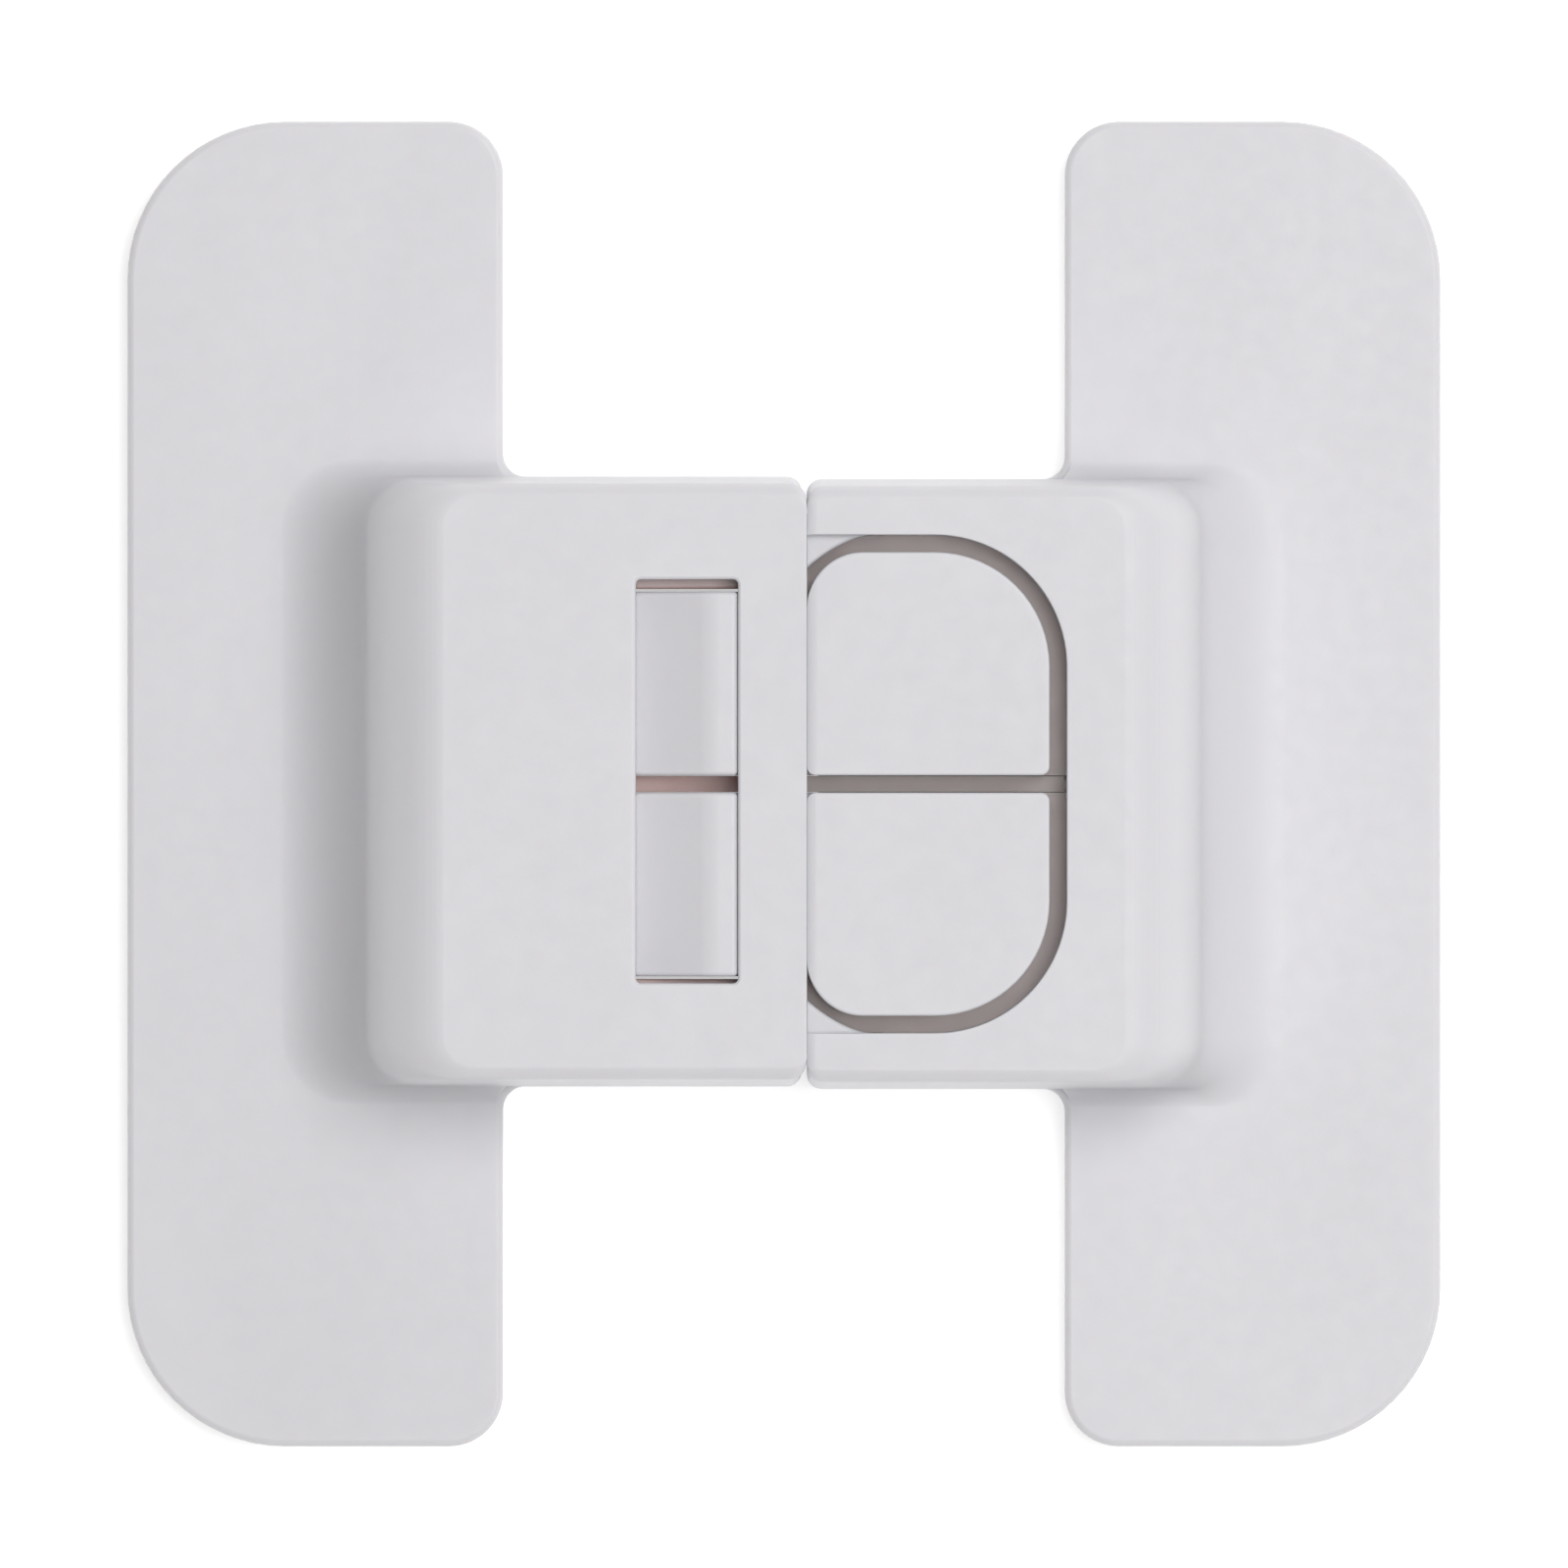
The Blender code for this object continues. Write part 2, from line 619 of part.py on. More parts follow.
def button_outline(grow=0.0, low=LEVER_INNER_Y):
    """The upper button's plan, counter-clockwise, from its inner side low, drawn out by grow elsewhere."""
    right = BUTTON_RIGHT_X + grow
    top = BUTTON_OUTER_Y + grow
    front = BUTTON_FRONT_RADIUS + grow
    back = BUTTON_BACK_RADIUS + grow
    small = BUTTON_INNER_RADIUS
    points = arc((BUTTON_LEFT_X + small, low + small), small, 180, 270, SMALL_ARC_STEPS)
    points += arc((right - small, low + small), small, 270, 360, SMALL_ARC_STEPS)
    points += arc((right - back, top - back), back, 0, 90, ARC_STEPS)
    points += arc((BUTTON_LEFT_X + front - grow, top - front), front, 90, 180, ARC_STEPS)
    return points


def lever_profile():
    """The lever's side view: nose, ramp, hook crest, locking face and the arm back to the pivot."""
    crest_right = HOOK_FACE_X
    crest_left = crest_right - HOOK_EDGE_ROUND - HOOK_CREST
    ramp_left = crest_left - HOOK_RAMP
    rise = HOOK_TOP - LEVER_TOP
    ramp = []
    for i in range(ARC_STEPS + 1):
        share = i / ARC_STEPS
        lift = (1 - math.cos(math.pi * share)) / 2
        ramp.append((ramp_left + HOOK_RAMP * share, LEVER_TOP + rise * lift))
    edge_centre = (crest_right - HOOK_EDGE_ROUND, HOOK_TOP - HOOK_EDGE_ROUND)
    edge = arc(edge_centre, HOOK_EDGE_ROUND, 90, 0, SMALL_ARC_STEPS)
    top = [(LEVER_TIP_X, LEVER_TOP - NOSE_DROP), (LEVER_TIP_X + NOSE_DROP, LEVER_TOP), *ramp, *edge]
    arm_end = BUTTON_RIGHT_X - 2 * BUTTON_GAP
    top += [(crest_right, LEVER_TOP), (arm_end, LEVER_TOP)]
    bottom = [(arm_end, LEVER_BOTTOM), (LEVER_TIP_X, LEVER_BOTTOM)]
    return (top + bottom)[::-1]


def build_lever(name, side, helpers):
    """A latch lever: hook, arm, flanged button, pivot barrel and spring peg, with its origin on the pivot."""
    lever = solid_profile(name, lever_profile(), LEVER_INNER_Y, LEVER_OUTER_Y)
    button = solid_outline("button", button_outline(), LEVER_BOTTOM + GAP, BUTTON_TOP, BUTTON_EDGE_ROUND)
    flange_top = CEILING - GAP
    flange = solid_outline("flange", button_outline(FLANGE_LIP), LEVER_BOTTOM + BITE, flange_top)
    front_low = (BUTTON_LEFT_X - FLANGE_LIP - CUT, -CUT, LEVER_BOTTOM)
    front_high = (FLANGE_LEFT_X, HOUSING_HALF, LOCK_HEIGHT)
    cut(flange, helpers, box("flange_front", front_low, front_high))
    groove_outline = button_outline(BUTTON_GAP, LEVER_INNER_Y - 2 * BUTTON_INNER_RADIUS)
    floor = LEVER_BOTTOM + FLANGE_FLOOR
    cut(flange, helpers, solid_outline("groove", groove_outline, floor, flange_top + CUT))
    skirt = solid_outline("skirt", button_outline(SKIRT_LIP), LEVER_BOTTOM + 2 * BITE, floor - BITE)
    knuckle_low = (BUTTON_RIGHT_X - 2 * BUTTON_GAP, BARREL_INNER_Y, PIVOT_Z - BARREL_RADIUS + GAP)
    knuckle_high = (PIVOT_X, BARREL_OUTER_Y, floor - 2 * BITE)
    barrel_start = (PIVOT_X, BARREL_INNER_Y, PIVOT_Z)
    barrel_end = (PIVOT_X, BARREL_OUTER_Y, PIVOT_Z)
    peg_radius = SPRING_RADIUS - SPRING_WIRE / 2 - POST_CLEARANCE
    peg_top = (SPRING_X, LEVER_MIDDLE_Y, LEVER_BOTTOM + GAP)
    peg_bottom = (SPRING_X, LEVER_MIDDLE_Y, LEVER_BOTTOM - PEG_LENGTH)
    join(lever, helpers, button, flange, skirt, box("knuckle", knuckle_low, knuckle_high))
    join(lever, helpers, cylinder("barrel", BARREL_RADIUS, barrel_start, barrel_end))
    join(lever, helpers, cylinder("peg", peg_radius, peg_bottom, peg_top))
    bore_start = (PIVOT_X, BARREL_INNER_Y - CUT, PIVOT_Z)
    bore_end = (PIVOT_X, BARREL_OUTER_Y + CUT, PIVOT_Z)
    cut(lever, helpers, cylinder("bore", BORE_RADIUS, bore_start, bore_end))
    if side < 0:
        mirror_y(lever)
    pivot = Vector((PIVOT_X, 0, PIVOT_Z))
    lever.data.transform(Matrix.Translation(-pivot))
    lever.location = pivot
    return lever


def build_pin():
    reach = CAVITY_HALF - GAP
    return cylinder("pivot_pin", PIN_RADIUS, (PIVOT_X, -reach, PIVOT_Z), (PIVOT_X, reach, PIVOT_Z))


def web_profile():
    """Side view of the web between the levers: a foot on the cover and an arm out to the rails' tips."""
    foot_left = SEAM_OFFSET + WEB_FOOT_FROM_SEAM
    foot_right = foot_left + WEB_FOOT_LENGTH
    foot_z = PLATE_BOTTOM + GAP
    top = LEVER_TOP - WEB_DROP
    foot = [(foot_left, foot_z), (foot_right, foot_z), (foot_right, top)]
    return foot + [(RAIL_TIP_X, top), (RAIL_TIP_X, top - WEB_DEPTH), (foot_left, top - WEB_DEPTH)]


def build_base_cover(helpers):
    """The plate that closes the latch from behind, with the centre web, spring posts and pin keepers."""
    low = (LATCH_FACE_X + COVER_CLEARANCE, COVER_CLEARANCE - CAVITY_HALF, PLATE_BOTTOM)
    high = (HOUSING_END_X - HOUSING_WALL - COVER_CLEARANCE, CAVITY_HALF - COVER_CLEARANCE, COVER_TOP)
    cover = box("base_cover", low, high)
    post_radius = SPRING_RADIUS - SPRING_WIRE / 2 - POST_CLEARANCE
    press_drop = (PIVOT_X - SPRING_X + post_radius) * math.sin(PRESS_ANGLE)
    post_top = LEVER_BOTTOM - PEG_LENGTH - press_drop - STOP_GAP
    for side in (1, -1):
        foot = (SPRING_X, side * LEVER_MIDDLE_Y, PLATE_BOTTOM + GAP)
        join(cover, helpers, cylinder("post", post_radius, foot, (*foot[:2], post_top)))
    web_half = LEVER_INNER_Y - WEB_CLEARANCE
    join(cover, helpers, solid_profile("web", web_profile(), -web_half, web_half))
    keeper_half = CENTRE_HANGER / 2
    side_keeper_y = CAVITY_HALF - SIDE_HANGER / 2
    keeper_top = PIVOT_Z - PIN_RADIUS - PIN_CLEARANCE
    for y in (-side_keeper_y, 0, side_keeper_y):
        keeper_low = (PIVOT_X - PIN_RADIUS, y - keeper_half, PLATE_BOTTOM + GAP)
        keeper_high = (PIVOT_X + PIN_RADIUS, y + keeper_half, keeper_top)
        join(cover, helpers, box("keeper", keeper_low, keeper_high))
    hole = SCREW_RADIUS + SCREW_CLEARANCE
    sink = SCREW_HEAD_RADIUS + SCREW_CLEARANCE
    rise = COVER_THICKNESS + CUT
    hole_profile = [(0.0, rise), (hole, rise), (hole, SCREW_HEAD_DEPTH)]
    hole_profile += [(sink, 0.0), (sink, -CUT), (0.0, -CUT)]
    for x, y in screw_places():
        cutter = turned("screw_hole", hole_profile)
        cutter.data.transform(Matrix.Translation((x, y, PLATE_BOTTOM)))
        cut(cover, helpers, cutter)
    return cover


def build_screw(name, x, y, helpers):
    """A countersunk tapping screw, turned from its profile, with a cross recess in its head."""
    profile = [
        (0.0, SCREW_LENGTH),
        (SCREW_RADIUS / 2, SCREW_LENGTH),
        (SCREW_RADIUS, SCREW_LENGTH - SCREW_RADIUS),
        (SCREW_RADIUS, SCREW_HEAD_DEPTH),
        (SCREW_HEAD_RADIUS, 0.0),
        (0.0, 0.0),
    ]
    screw = turned(name, profile)
    reach = SCREW_RECESS_LENGTH / 2
    half = SCREW_RECESS_WIDTH / 2
    recess = box("recess", (-reach, -half, -CUT), (reach, half, SCREW_RECESS_DEPTH))
    across = box("recess_across", (-half, -reach, -2 * CUT), (half, reach, SCREW_RECESS_DEPTH - BITE))
    join(recess, helpers, across)
    cut(screw, helpers, recess)
    screw.location = (x, y, PLATE_BOTTOM + SCREW_CLEARANCE / 2)
    return screw


def spring_points():
    """A compression spring's centreline along +Z from its lower seat, with closer end turns."""
    low = SPRING_WIRE / 2 + SPRING_SEAT_GAP
    height = LEVER_BOTTOM - COVER_TOP - 2 * low
    count = int(SPRING_TURNS * SPRING_POINTS)
    middle_pitch = (height - 2 * SPRING_END_PITCH) / (SPRING_TURNS - 2)
    points = []
    for i in range(count + 1):
        turns = SPRING_TURNS * i / count
        near = min(turns, 1) + max(0, turns - (SPRING_TURNS - 1))
        z = low + near * SPRING_END_PITCH + (turns - near) * middle_pitch
        angle = 2 * math.pi * turns
        points.append((SPRING_RADIUS * math.cos(angle), SPRING_RADIUS * math.sin(angle), z))
    return points


def least_gap(points, wire):
    """The least space between turns of a coil, measured between points at least half a turn apart."""
    apart = SPRING_POINTS // 2
    least = min(
        (Vector(a) - Vector(b)).length for i, a in enumerate(points) for b in points[i + apart :]
    )
    return least - wire


def build_spring(name, side):
    points = spring_points()
    print(f"{name}: least gap between turns {least_gap(points, SPRING_WIRE) / MM:.2f} mm")
    curve = bpy.data.curves.new(name, "CURVE")
    curve.dimensions = "3D"
    curve.bevel_depth = SPRING_WIRE / 2
    curve.bevel_resolution = 1
    curve.use_fill_caps = True
    spline = curve.splines.new("POLY")
    spline.points.add(len(points) - 1)
    for point, place_at in zip(spline.points, points):
        point.co = (*place_at, 1)
    spring = bpy.data.objects.new(name, curve)
    bpy.context.scene.collection.objects.link(spring)
    spring = to_mesh(spring)
    spring.location = (SPRING_X, side * LEVER_MIDDLE_Y, COVER_TOP)
    return spring


def build_layers(prefix, flip):
    """The foam pad under a plate and the release liner under the pad."""
    outline = plate_outline(inset=PAD_MARGIN, neck=False)
    if flip:
        outline = mirrored_x(outline)
    pad = solid_outline(prefix + "_foam_pad", outline, FOAM_BOTTOM, FOAM_BOTTOM + FOAM_THICKNESS)
    liner = solid_outline(prefix + "_release_liner", outline, 0.0, LINER_THICKNESS)
    return pad, liner


def main():
    clear_scene()
    lock = make_collection("refrigerator_lock")
    helpers = make_collection("cutters")
    white = make_material("white_moulding", WHITE, 0.45)
    steel = make_material("bright_steel", STEEL, 0.3, 1.0)
    foam = make_material("foam_tape", FOAM, 0.9)
    film = make_material("liner_film", FILM, 0.35)
    finish(build_receiver_body(helpers), lock, white)
    finish(build_latch_body(helpers), lock, white)
    for label, side in (("upper", 1), ("lower", -1)):
        finish(build_lever(label + "_latch_lever", side, helpers), lock, white)
        finish(build_spring(label + "_return_spring", side), lock, steel)
    finish(build_pin(), lock, steel)
    finish(build_base_cover(helpers), lock, white)
    for number, (x, y) in enumerate(screw_places(), start=1):
        finish(build_screw(f"cover_screw_{number}", x, y, helpers), lock, steel)
    for prefix, flip in (("receiver", True), ("latch", False)):
        pad, liner = build_layers(prefix, flip)
        finish(pad, lock, foam)
        finish(liner, lock, film)


main()
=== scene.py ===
"""Dresses the frame of a stick-on refrigerator lock and sets up its studio view.

Everything is in metres, in the frame's own axes: +Z out of the appliance's surface, +X from the receiver half
to the latch half and +Y up along the plates. Each piece is drawn where it belongs, so no object is moved.
"""

import json
import logging
import math
from collections.abc import Iterable, Sequence
from dataclasses import dataclass
from enum import Enum

import bmesh
import bpy
from mathutils import Matrix, Vector


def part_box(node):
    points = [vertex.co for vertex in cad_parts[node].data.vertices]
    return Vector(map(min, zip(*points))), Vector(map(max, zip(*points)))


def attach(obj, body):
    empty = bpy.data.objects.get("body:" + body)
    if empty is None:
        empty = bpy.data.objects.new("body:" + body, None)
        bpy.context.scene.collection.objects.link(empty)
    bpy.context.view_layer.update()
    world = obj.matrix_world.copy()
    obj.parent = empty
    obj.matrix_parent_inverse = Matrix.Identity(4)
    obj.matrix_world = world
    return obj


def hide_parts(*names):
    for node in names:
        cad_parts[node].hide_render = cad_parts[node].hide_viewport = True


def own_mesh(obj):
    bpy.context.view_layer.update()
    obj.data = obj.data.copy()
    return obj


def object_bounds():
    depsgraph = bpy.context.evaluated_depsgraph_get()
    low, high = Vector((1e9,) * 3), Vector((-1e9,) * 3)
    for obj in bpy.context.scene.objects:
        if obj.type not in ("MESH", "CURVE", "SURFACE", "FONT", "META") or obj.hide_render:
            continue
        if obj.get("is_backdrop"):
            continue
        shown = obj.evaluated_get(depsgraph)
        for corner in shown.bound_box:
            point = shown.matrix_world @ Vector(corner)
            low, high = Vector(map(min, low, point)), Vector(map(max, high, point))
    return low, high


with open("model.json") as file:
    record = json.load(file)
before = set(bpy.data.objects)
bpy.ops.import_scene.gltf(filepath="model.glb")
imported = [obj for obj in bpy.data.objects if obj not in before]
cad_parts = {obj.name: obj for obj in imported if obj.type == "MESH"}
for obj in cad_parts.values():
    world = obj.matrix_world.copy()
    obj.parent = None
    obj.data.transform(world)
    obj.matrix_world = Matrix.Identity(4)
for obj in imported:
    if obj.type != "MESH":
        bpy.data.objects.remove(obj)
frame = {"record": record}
CAD_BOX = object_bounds()
LOG = logging.getLogger("refrigerator_lock")

Colour = tuple[float, float, float, float]
Place = tuple[float, float, float]
Span = tuple[float, float]
Socket = bpy.types.NodeSocket

MM = 0.001
# Points closer than this become one.
MERGE = 0.001 * MM
# Steps that keep the faces of two solids out of one plane.
BITE = 0.004 * MM
SINK = 0.02 * MM
# How far a cutter goes past what it cuts.
CUT = 1.0 * MM
# The least radius that a rounded corner keeps when its outline is drawn in.
LEAST_ROUND = 0.02 * MM
# How many edges an eased rim is made of.
EASE_STEPS = 6
# Edges that turn by more than this stay sharp.
SHARP = math.radians(32)
# How far apart a wave texture's ribs stand at a scale of 1.
WAVE = math.pi / 10


class Body(Enum):
    """The rigid bodies that pieces ride on."""

    LATCH = "latch_half"
    RECEIVER = "receiver_half"
    UPPER_LEVER = "upper_lever"
    LOWER_LEVER = "lower_lever"


class Slot(Enum):
    """The record's material slots."""

    MOULDING = "white_moulding"
    STEEL = "bright_steel"
    FOAM = "foam_tape"
    FILM = "liner_film"


class Side(Enum):
    """The upper and lower half of the latch, as the sign of Y."""

    UPPER = 1
    LOWER = -1

    @property
    def label(self) -> str:
        """The word that the frame's node names begin with."""
        return self.name.lower()

    @property
    def body(self) -> Body:
        """The lever body on this side."""
        return Body.UPPER_LEVER if self is Side.UPPER else Body.LOWER_LEVER


@dataclass(frozen=True)
class Corner:
    """One corner of a flat outline, with the radius that it is rounded to."""

    x: float
    y: float
    radius: float = 0.0

    @property
    def place(self) -> Vector:
        """The corner's point in the plane."""
        return Vector((self.x, self.y))


class Solid:
    """A closed mesh under construction, which can be joined with others, cut and reflected."""

    def __init__(self, name: str, bm: bmesh.types.BMesh) -> None:
        """Takes over a bmesh, with its doubles merged and its faces turned outwards.

        Args:
            name: The object's name.
            bm: The shape, which is freed.
        """
        bmesh.ops.remove_doubles(bm, verts=bm.verts, dist=MERGE)
        bmesh.ops.recalc_face_normals(bm, faces=bm.faces)
        mesh = bpy.data.meshes.new(name)
        bm.to_mesh(mesh)
        bm.free()
        self.obj = bpy.data.objects.new(name, mesh)
        bpy.context.scene.collection.objects.link(self.obj)

    def _combine(self, operation: str, others: Iterable["Solid"]) -> "Solid":
        """Applies a Boolean with other solids, which are used up.

        Args:
            operation: UNION, DIFFERENCE or INTERSECT.
            others: The other solids.

        Returns:
            This solid.
        """
        for other in others:
            step = self.obj.modifiers.new(operation.lower(), "BOOLEAN")
            step.operation = operation
            step.object = other.obj
            step.solver = "EXACT"
            graph = bpy.context.evaluated_depsgraph_get()
            graph.update()
            made = bpy.data.meshes.new_from_object(self.obj.evaluated_get(graph))
            self.obj.modifiers.clear()
            spent = (self.obj.data, other.obj.data)
            self.obj.data = made
            bpy.data.objects.remove(other.obj)
            for mesh in spent:
                bpy.data.meshes.remove(mesh)
            made.name = self.obj.name
        return self

    def join(self, *others: "Solid") -> "Solid":
        """Adds other solids to this one."""
        return self._combine("UNION", others)

    def cut(self, *others: "Solid") -> "Solid":
        """Takes other solids out of this one."""
        return self._combine("DIFFERENCE", others)

    def keep(self, *others: "Solid") -> "Solid":
        """Keeps only what lies inside other solids."""
        return self._combine("INTERSECT", others)

    def reflect(self, x: int = 1, y: int = 1) -> "Solid":
        """Mirrors the solid through the origin's planes.

        Args:
            x: -1 to mirror left and right.
            y: -1 to mirror up and down.

        Returns:
            This solid.
        """
        bm = bmesh.new()
        bm.from_mesh(self.obj.data)
        bmesh.ops.scale(bm, vec=(x, y, 1), verts=bm.verts)
        if x * y < 0:
            bmesh.ops.reverse_faces(bm, faces=bm.faces)
        bm.to_mesh(self.obj.data)
        bm.free()
        return self

    def moved(self, matrix: Matrix) -> "Solid":
        """Moves the mesh itself, so that the object stays at the origin."""
        self.obj.data.transform(matrix)
        return self

    def shift(self, x: float, y: float, z: float) -> "Solid":
        """Moves the mesh along the axes."""
        return self.moved(Matrix.Translation((x, y, z)))

    def upright(self) -> "Solid":
        """Turns a mesh that was drawn along Z to lie along Y."""
        return self.moved(Matrix.Rotation(math.radians(90), 4, "X"))

    def smooth(self) -> "Solid":
        """Shades the faces smooth between sharp edges.

        Returns:
            This solid.
        """
        self.obj.data.shade_smooth()
        self.obj.data.set_sharp_from_angle(angle=SHARP)
        even = self.obj.modifiers.new("even_normals", "WEIGHTED_NORMAL")
        even.weight = 50
        even.keep_sharp = True
        return self


@dataclass(frozen=True)
class Outline:
    """A closed flat outline with rounded corners, counter-clockwise."""

    corners: tuple[Corner, ...]
    segments: int = 8

    @classmethod
    def box(
        cls, low: Sequence[float], high: Sequence[float], radii: Sequence[float], segments: int = 8
    ) -> "Outline":
        """A rectangle between two corners, with its four radii from the lowest corner on."""
        places = ((low[0], low[1]), (high[0], low[1]), (high[0], high[1]), (low[0], high[1]))
        return cls(tuple(Corner(x, y, radius) for (x, y), radius in zip(places, radii)), segments)

    def _runs(self) -> Iterable[tuple[Corner, Corner, Corner]]:
        """Each corner, between the one before it and the one after it."""
        return zip(self.corners[-1:] + self.corners[:-1], self.corners, self.corners[1:] + self.corners[:1])

    def draw(self, height: float) -> bmesh.types.BMesh:
        """Draws the outline as one face.

        Args:
            height: The face's place along Z.

        Returns:
            A new bmesh that holds the face.
        """
        bm = bmesh.new()
        verts = [bm.verts.new((corner.x, corner.y, height)) for corner in self.corners]
        bm.faces.new(verts)
        for vert, (before, here, after) in zip(verts, self._runs()):
            if here.radius > 0:
                angle = (before.place - here.place).angle(after.place - here.place)
                bmesh.ops.bevel(
                    bm,
                    geom=[vert],
                    offset=here.radius / math.tan(angle / 2),
                    offset_type="ABSOLUTE",
                    affect="VERTICES",
                    segments=self.segments,
                    profile=0.5,
                    material=-1,
                    clamp_overlap=False,
                )
        return bm

    def grown(self, amount: float) -> "Outline":
        """The outline moved outwards by an even amount, or inwards by a negative one.

        Args:
            amount: How far each edge moves.

        Returns:
            The parallel outline, with each rounding still about the same centre.
        """
        moved = []
        for before, here, after in self._runs():
            first = (here.place - before.place).normalized()
            second = (after.place - here.place).normalized()
            out = Vector((first.y + second.y, -first.x - second.x)) / (1 + first.dot(second))
            place = here.place + amount * out
            hollow = first.x * second.y - first.y * second.x < 0
            radius = here.radius - amount if hollow else here.radius + amount
            moved.append(Corner(place.x, place.y, max(radius, LEAST_ROUND) if here.radius else 0.0))
        return Outline(tuple(moved), self.segments)

    def solid(self, name: str, low: float, high: float, ease_low: float = 0, ease_high: float = 0) -> Solid:
        """Makes the outline solid between two heights.

        Args:
            name: The solid's name.
            low: The lower height.
            high: The upper height.
            ease_low: The radius of its lower edge.
            ease_high: The radius of its upper edge.

        Returns:
            The solid.
        """
        sections = [(low, self)]
        if ease_low:
            steps = [(1 - math.cos(angle), 1 - math.sin(angle)) for angle in quarter(EASE_STEPS)]
            sections = [(low + ease_low * rise, self.grown(-ease_low * inset)) for rise, inset in steps]
        if ease_high:
            steps = [(1 - math.sin(angle), 1 - math.cos(angle)) for angle in quarter(EASE_STEPS)]
            sections += [(high - ease_high * drop, self.grown(-ease_high * inset)) for drop, inset in steps]
        else:
            sections.append((high, self))
        return loft(name, sections)

    def pierce(self, name: str, low: float, face: float, flare: float) -> Solid:
        """Makes a cutter that rounds over the rim where it breaks through a face.

        Args:
            name: The cutter's name.
            low: The height that it starts at.
            face: The height of the face.
            flare: The radius of the rim.

        Returns:
            The cutter, which ends above the face.
        """
        sections = [(low, self)]
        for angle in quarter(EASE_STEPS):
            height = face + BITE - flare * (1 - math.sin(angle))
            sections.append((height, self.grown(flare * (1 - math.cos(angle)))))
        sections.append((face + CUT, self.grown(flare)))
        return loft(name, sections)

    def standing(self, name: str, low: float, high: float, ease: float = 0.0) -> Solid:
        """Makes an outline drawn as X and Z solid between two places along Y, with eased edges."""
        return self.solid(name, -high, -low, ease, ease).upright()

    def mirrored(self) -> "Outline":
        """The outline on the other side of X = 0."""
        return Outline(tuple(Corner(-c.x, c.y, c.radius) for c in reversed(self.corners)), self.segments)


def quarter(steps: int) -> list[float]:
    """Angles from 0 to a right angle in even steps."""
    return [math.pi / 2 * step / steps for step in range(steps + 1)]


def climb(top: float, rise: float, steps: int) -> list[float]:
    """Heights up a rounding that ends at a top."""
    return [top - rise * (1 - math.sin(angle)) for angle in quarter(steps)]


def loft(name: str, sections: Sequence[tuple[float, Outline]]) -> Solid:
    """Makes a solid through outlines at different heights.

    Args:
        name: The solid's name.
        sections: Heights and outlines, all with as many corners and segments.

    Returns:
        The solid, closed at both ends.
    """
    bm = bmesh.new()
    loops: list[list[bmesh.types.BMEdge]] = []
    for height, outline in sections:
        section = outline.draw(height)
        bmesh.ops.delete(section, geom=list(section.faces), context="FACES_ONLY")
        mesh = bpy.data.meshes.new("section")
        section.to_mesh(mesh)
        section.free()
        known = len(bm.edges)
        bm.from_mesh(mesh)
        bpy.data.meshes.remove(mesh)
        bm.edges.ensure_lookup_table()
        loops.append([bm.edges[index] for index in range(known, len(bm.edges))])
    for lower, upper in zip(loops, loops[1:]):
        bmesh.ops.bridge_loops(bm, edges=lower + upper)
    for rim in (loops[0], loops[-1]):
        bmesh.ops.contextual_create(bm, geom=rim)
    return Solid(name, bm)


def turned(name: str, profile: Sequence[Span], steps: int = 48) -> Solid:
    """Turns a profile of radius and height round the Z axis.

    Args:
        name: The solid's name.
        profile: Points from one end of the axis to the other.
        steps: How many facets go round.

    Returns:
        The turned solid.
    """
    bm = bmesh.new()
    verts = [bm.verts.new((radius, 0, height)) for radius, height in profile]
    edges = [bm.edges.new(pair) for pair in zip(verts, verts[1:])]
    around = {"cent": (0, 0, 0), "axis": (0, 0, 1), "angle": 2 * math.pi}
    bmesh.ops.spin(bm, geom=verts + edges, steps=steps, use_merge=True, **around)
    return Solid(name, bm)


def block(name: str, low: Iterable[float], high: Iterable[float], ease: float = 0.0) -> Solid:
    """A block between two corners.

    Args:
        name: The solid's name.
        low: The lowest corner.
        high: The highest corner.
        ease: The radius of its edges.

    Returns:
        The block.
    """
    lowest, highest = Vector(low), Vector(high)
    bm = bmesh.new()
    bmesh.ops.create_cube(bm, size=1)
    bmesh.ops.scale(bm, vec=highest - lowest, verts=bm.verts)
    bmesh.ops.translate(bm, vec=(highest + lowest) / 2, verts=bm.verts)
    if ease:
        edges = list(bm.edges)
        bmesh.ops.bevel(bm, geom=edges, offset=ease, affect="EDGES", segments=4, profile=0.5, material=-1)
    return Solid(name, bm)


def rod(name: str, radius: float, start: Iterable[float], end: Iterable[float], ease: float = 0.0) -> Solid:
    """A round bar between two points.

    Args:
        name: The solid's name.
        radius: The bar's radius.
        start: The middle of one end.
        end: The middle of the other end.
        ease: The chamfer at both ends.

    Returns:
        The bar.
    """
    first = Vector(start)
    along = Vector(end) - first
    profile = [(0.0, 0.0), (radius - ease, 0.0), (radius - ease, along.length), (0.0, along.length)]
    if ease:
        profile[2:2] = [(radius, ease), (radius, along.length - ease)]
    turn = along.to_track_quat("Z", "Y").to_matrix().to_4x4()
    return turned(name, profile).moved(Matrix.Translation(first) @ turn)


@dataclass(frozen=True)
class PaintedShadeZone:
    """A box inside the lock where a darker, warmer colour is painted in as the shade in the gaps."""

    low: Place
    high: Place
    tint: Colour


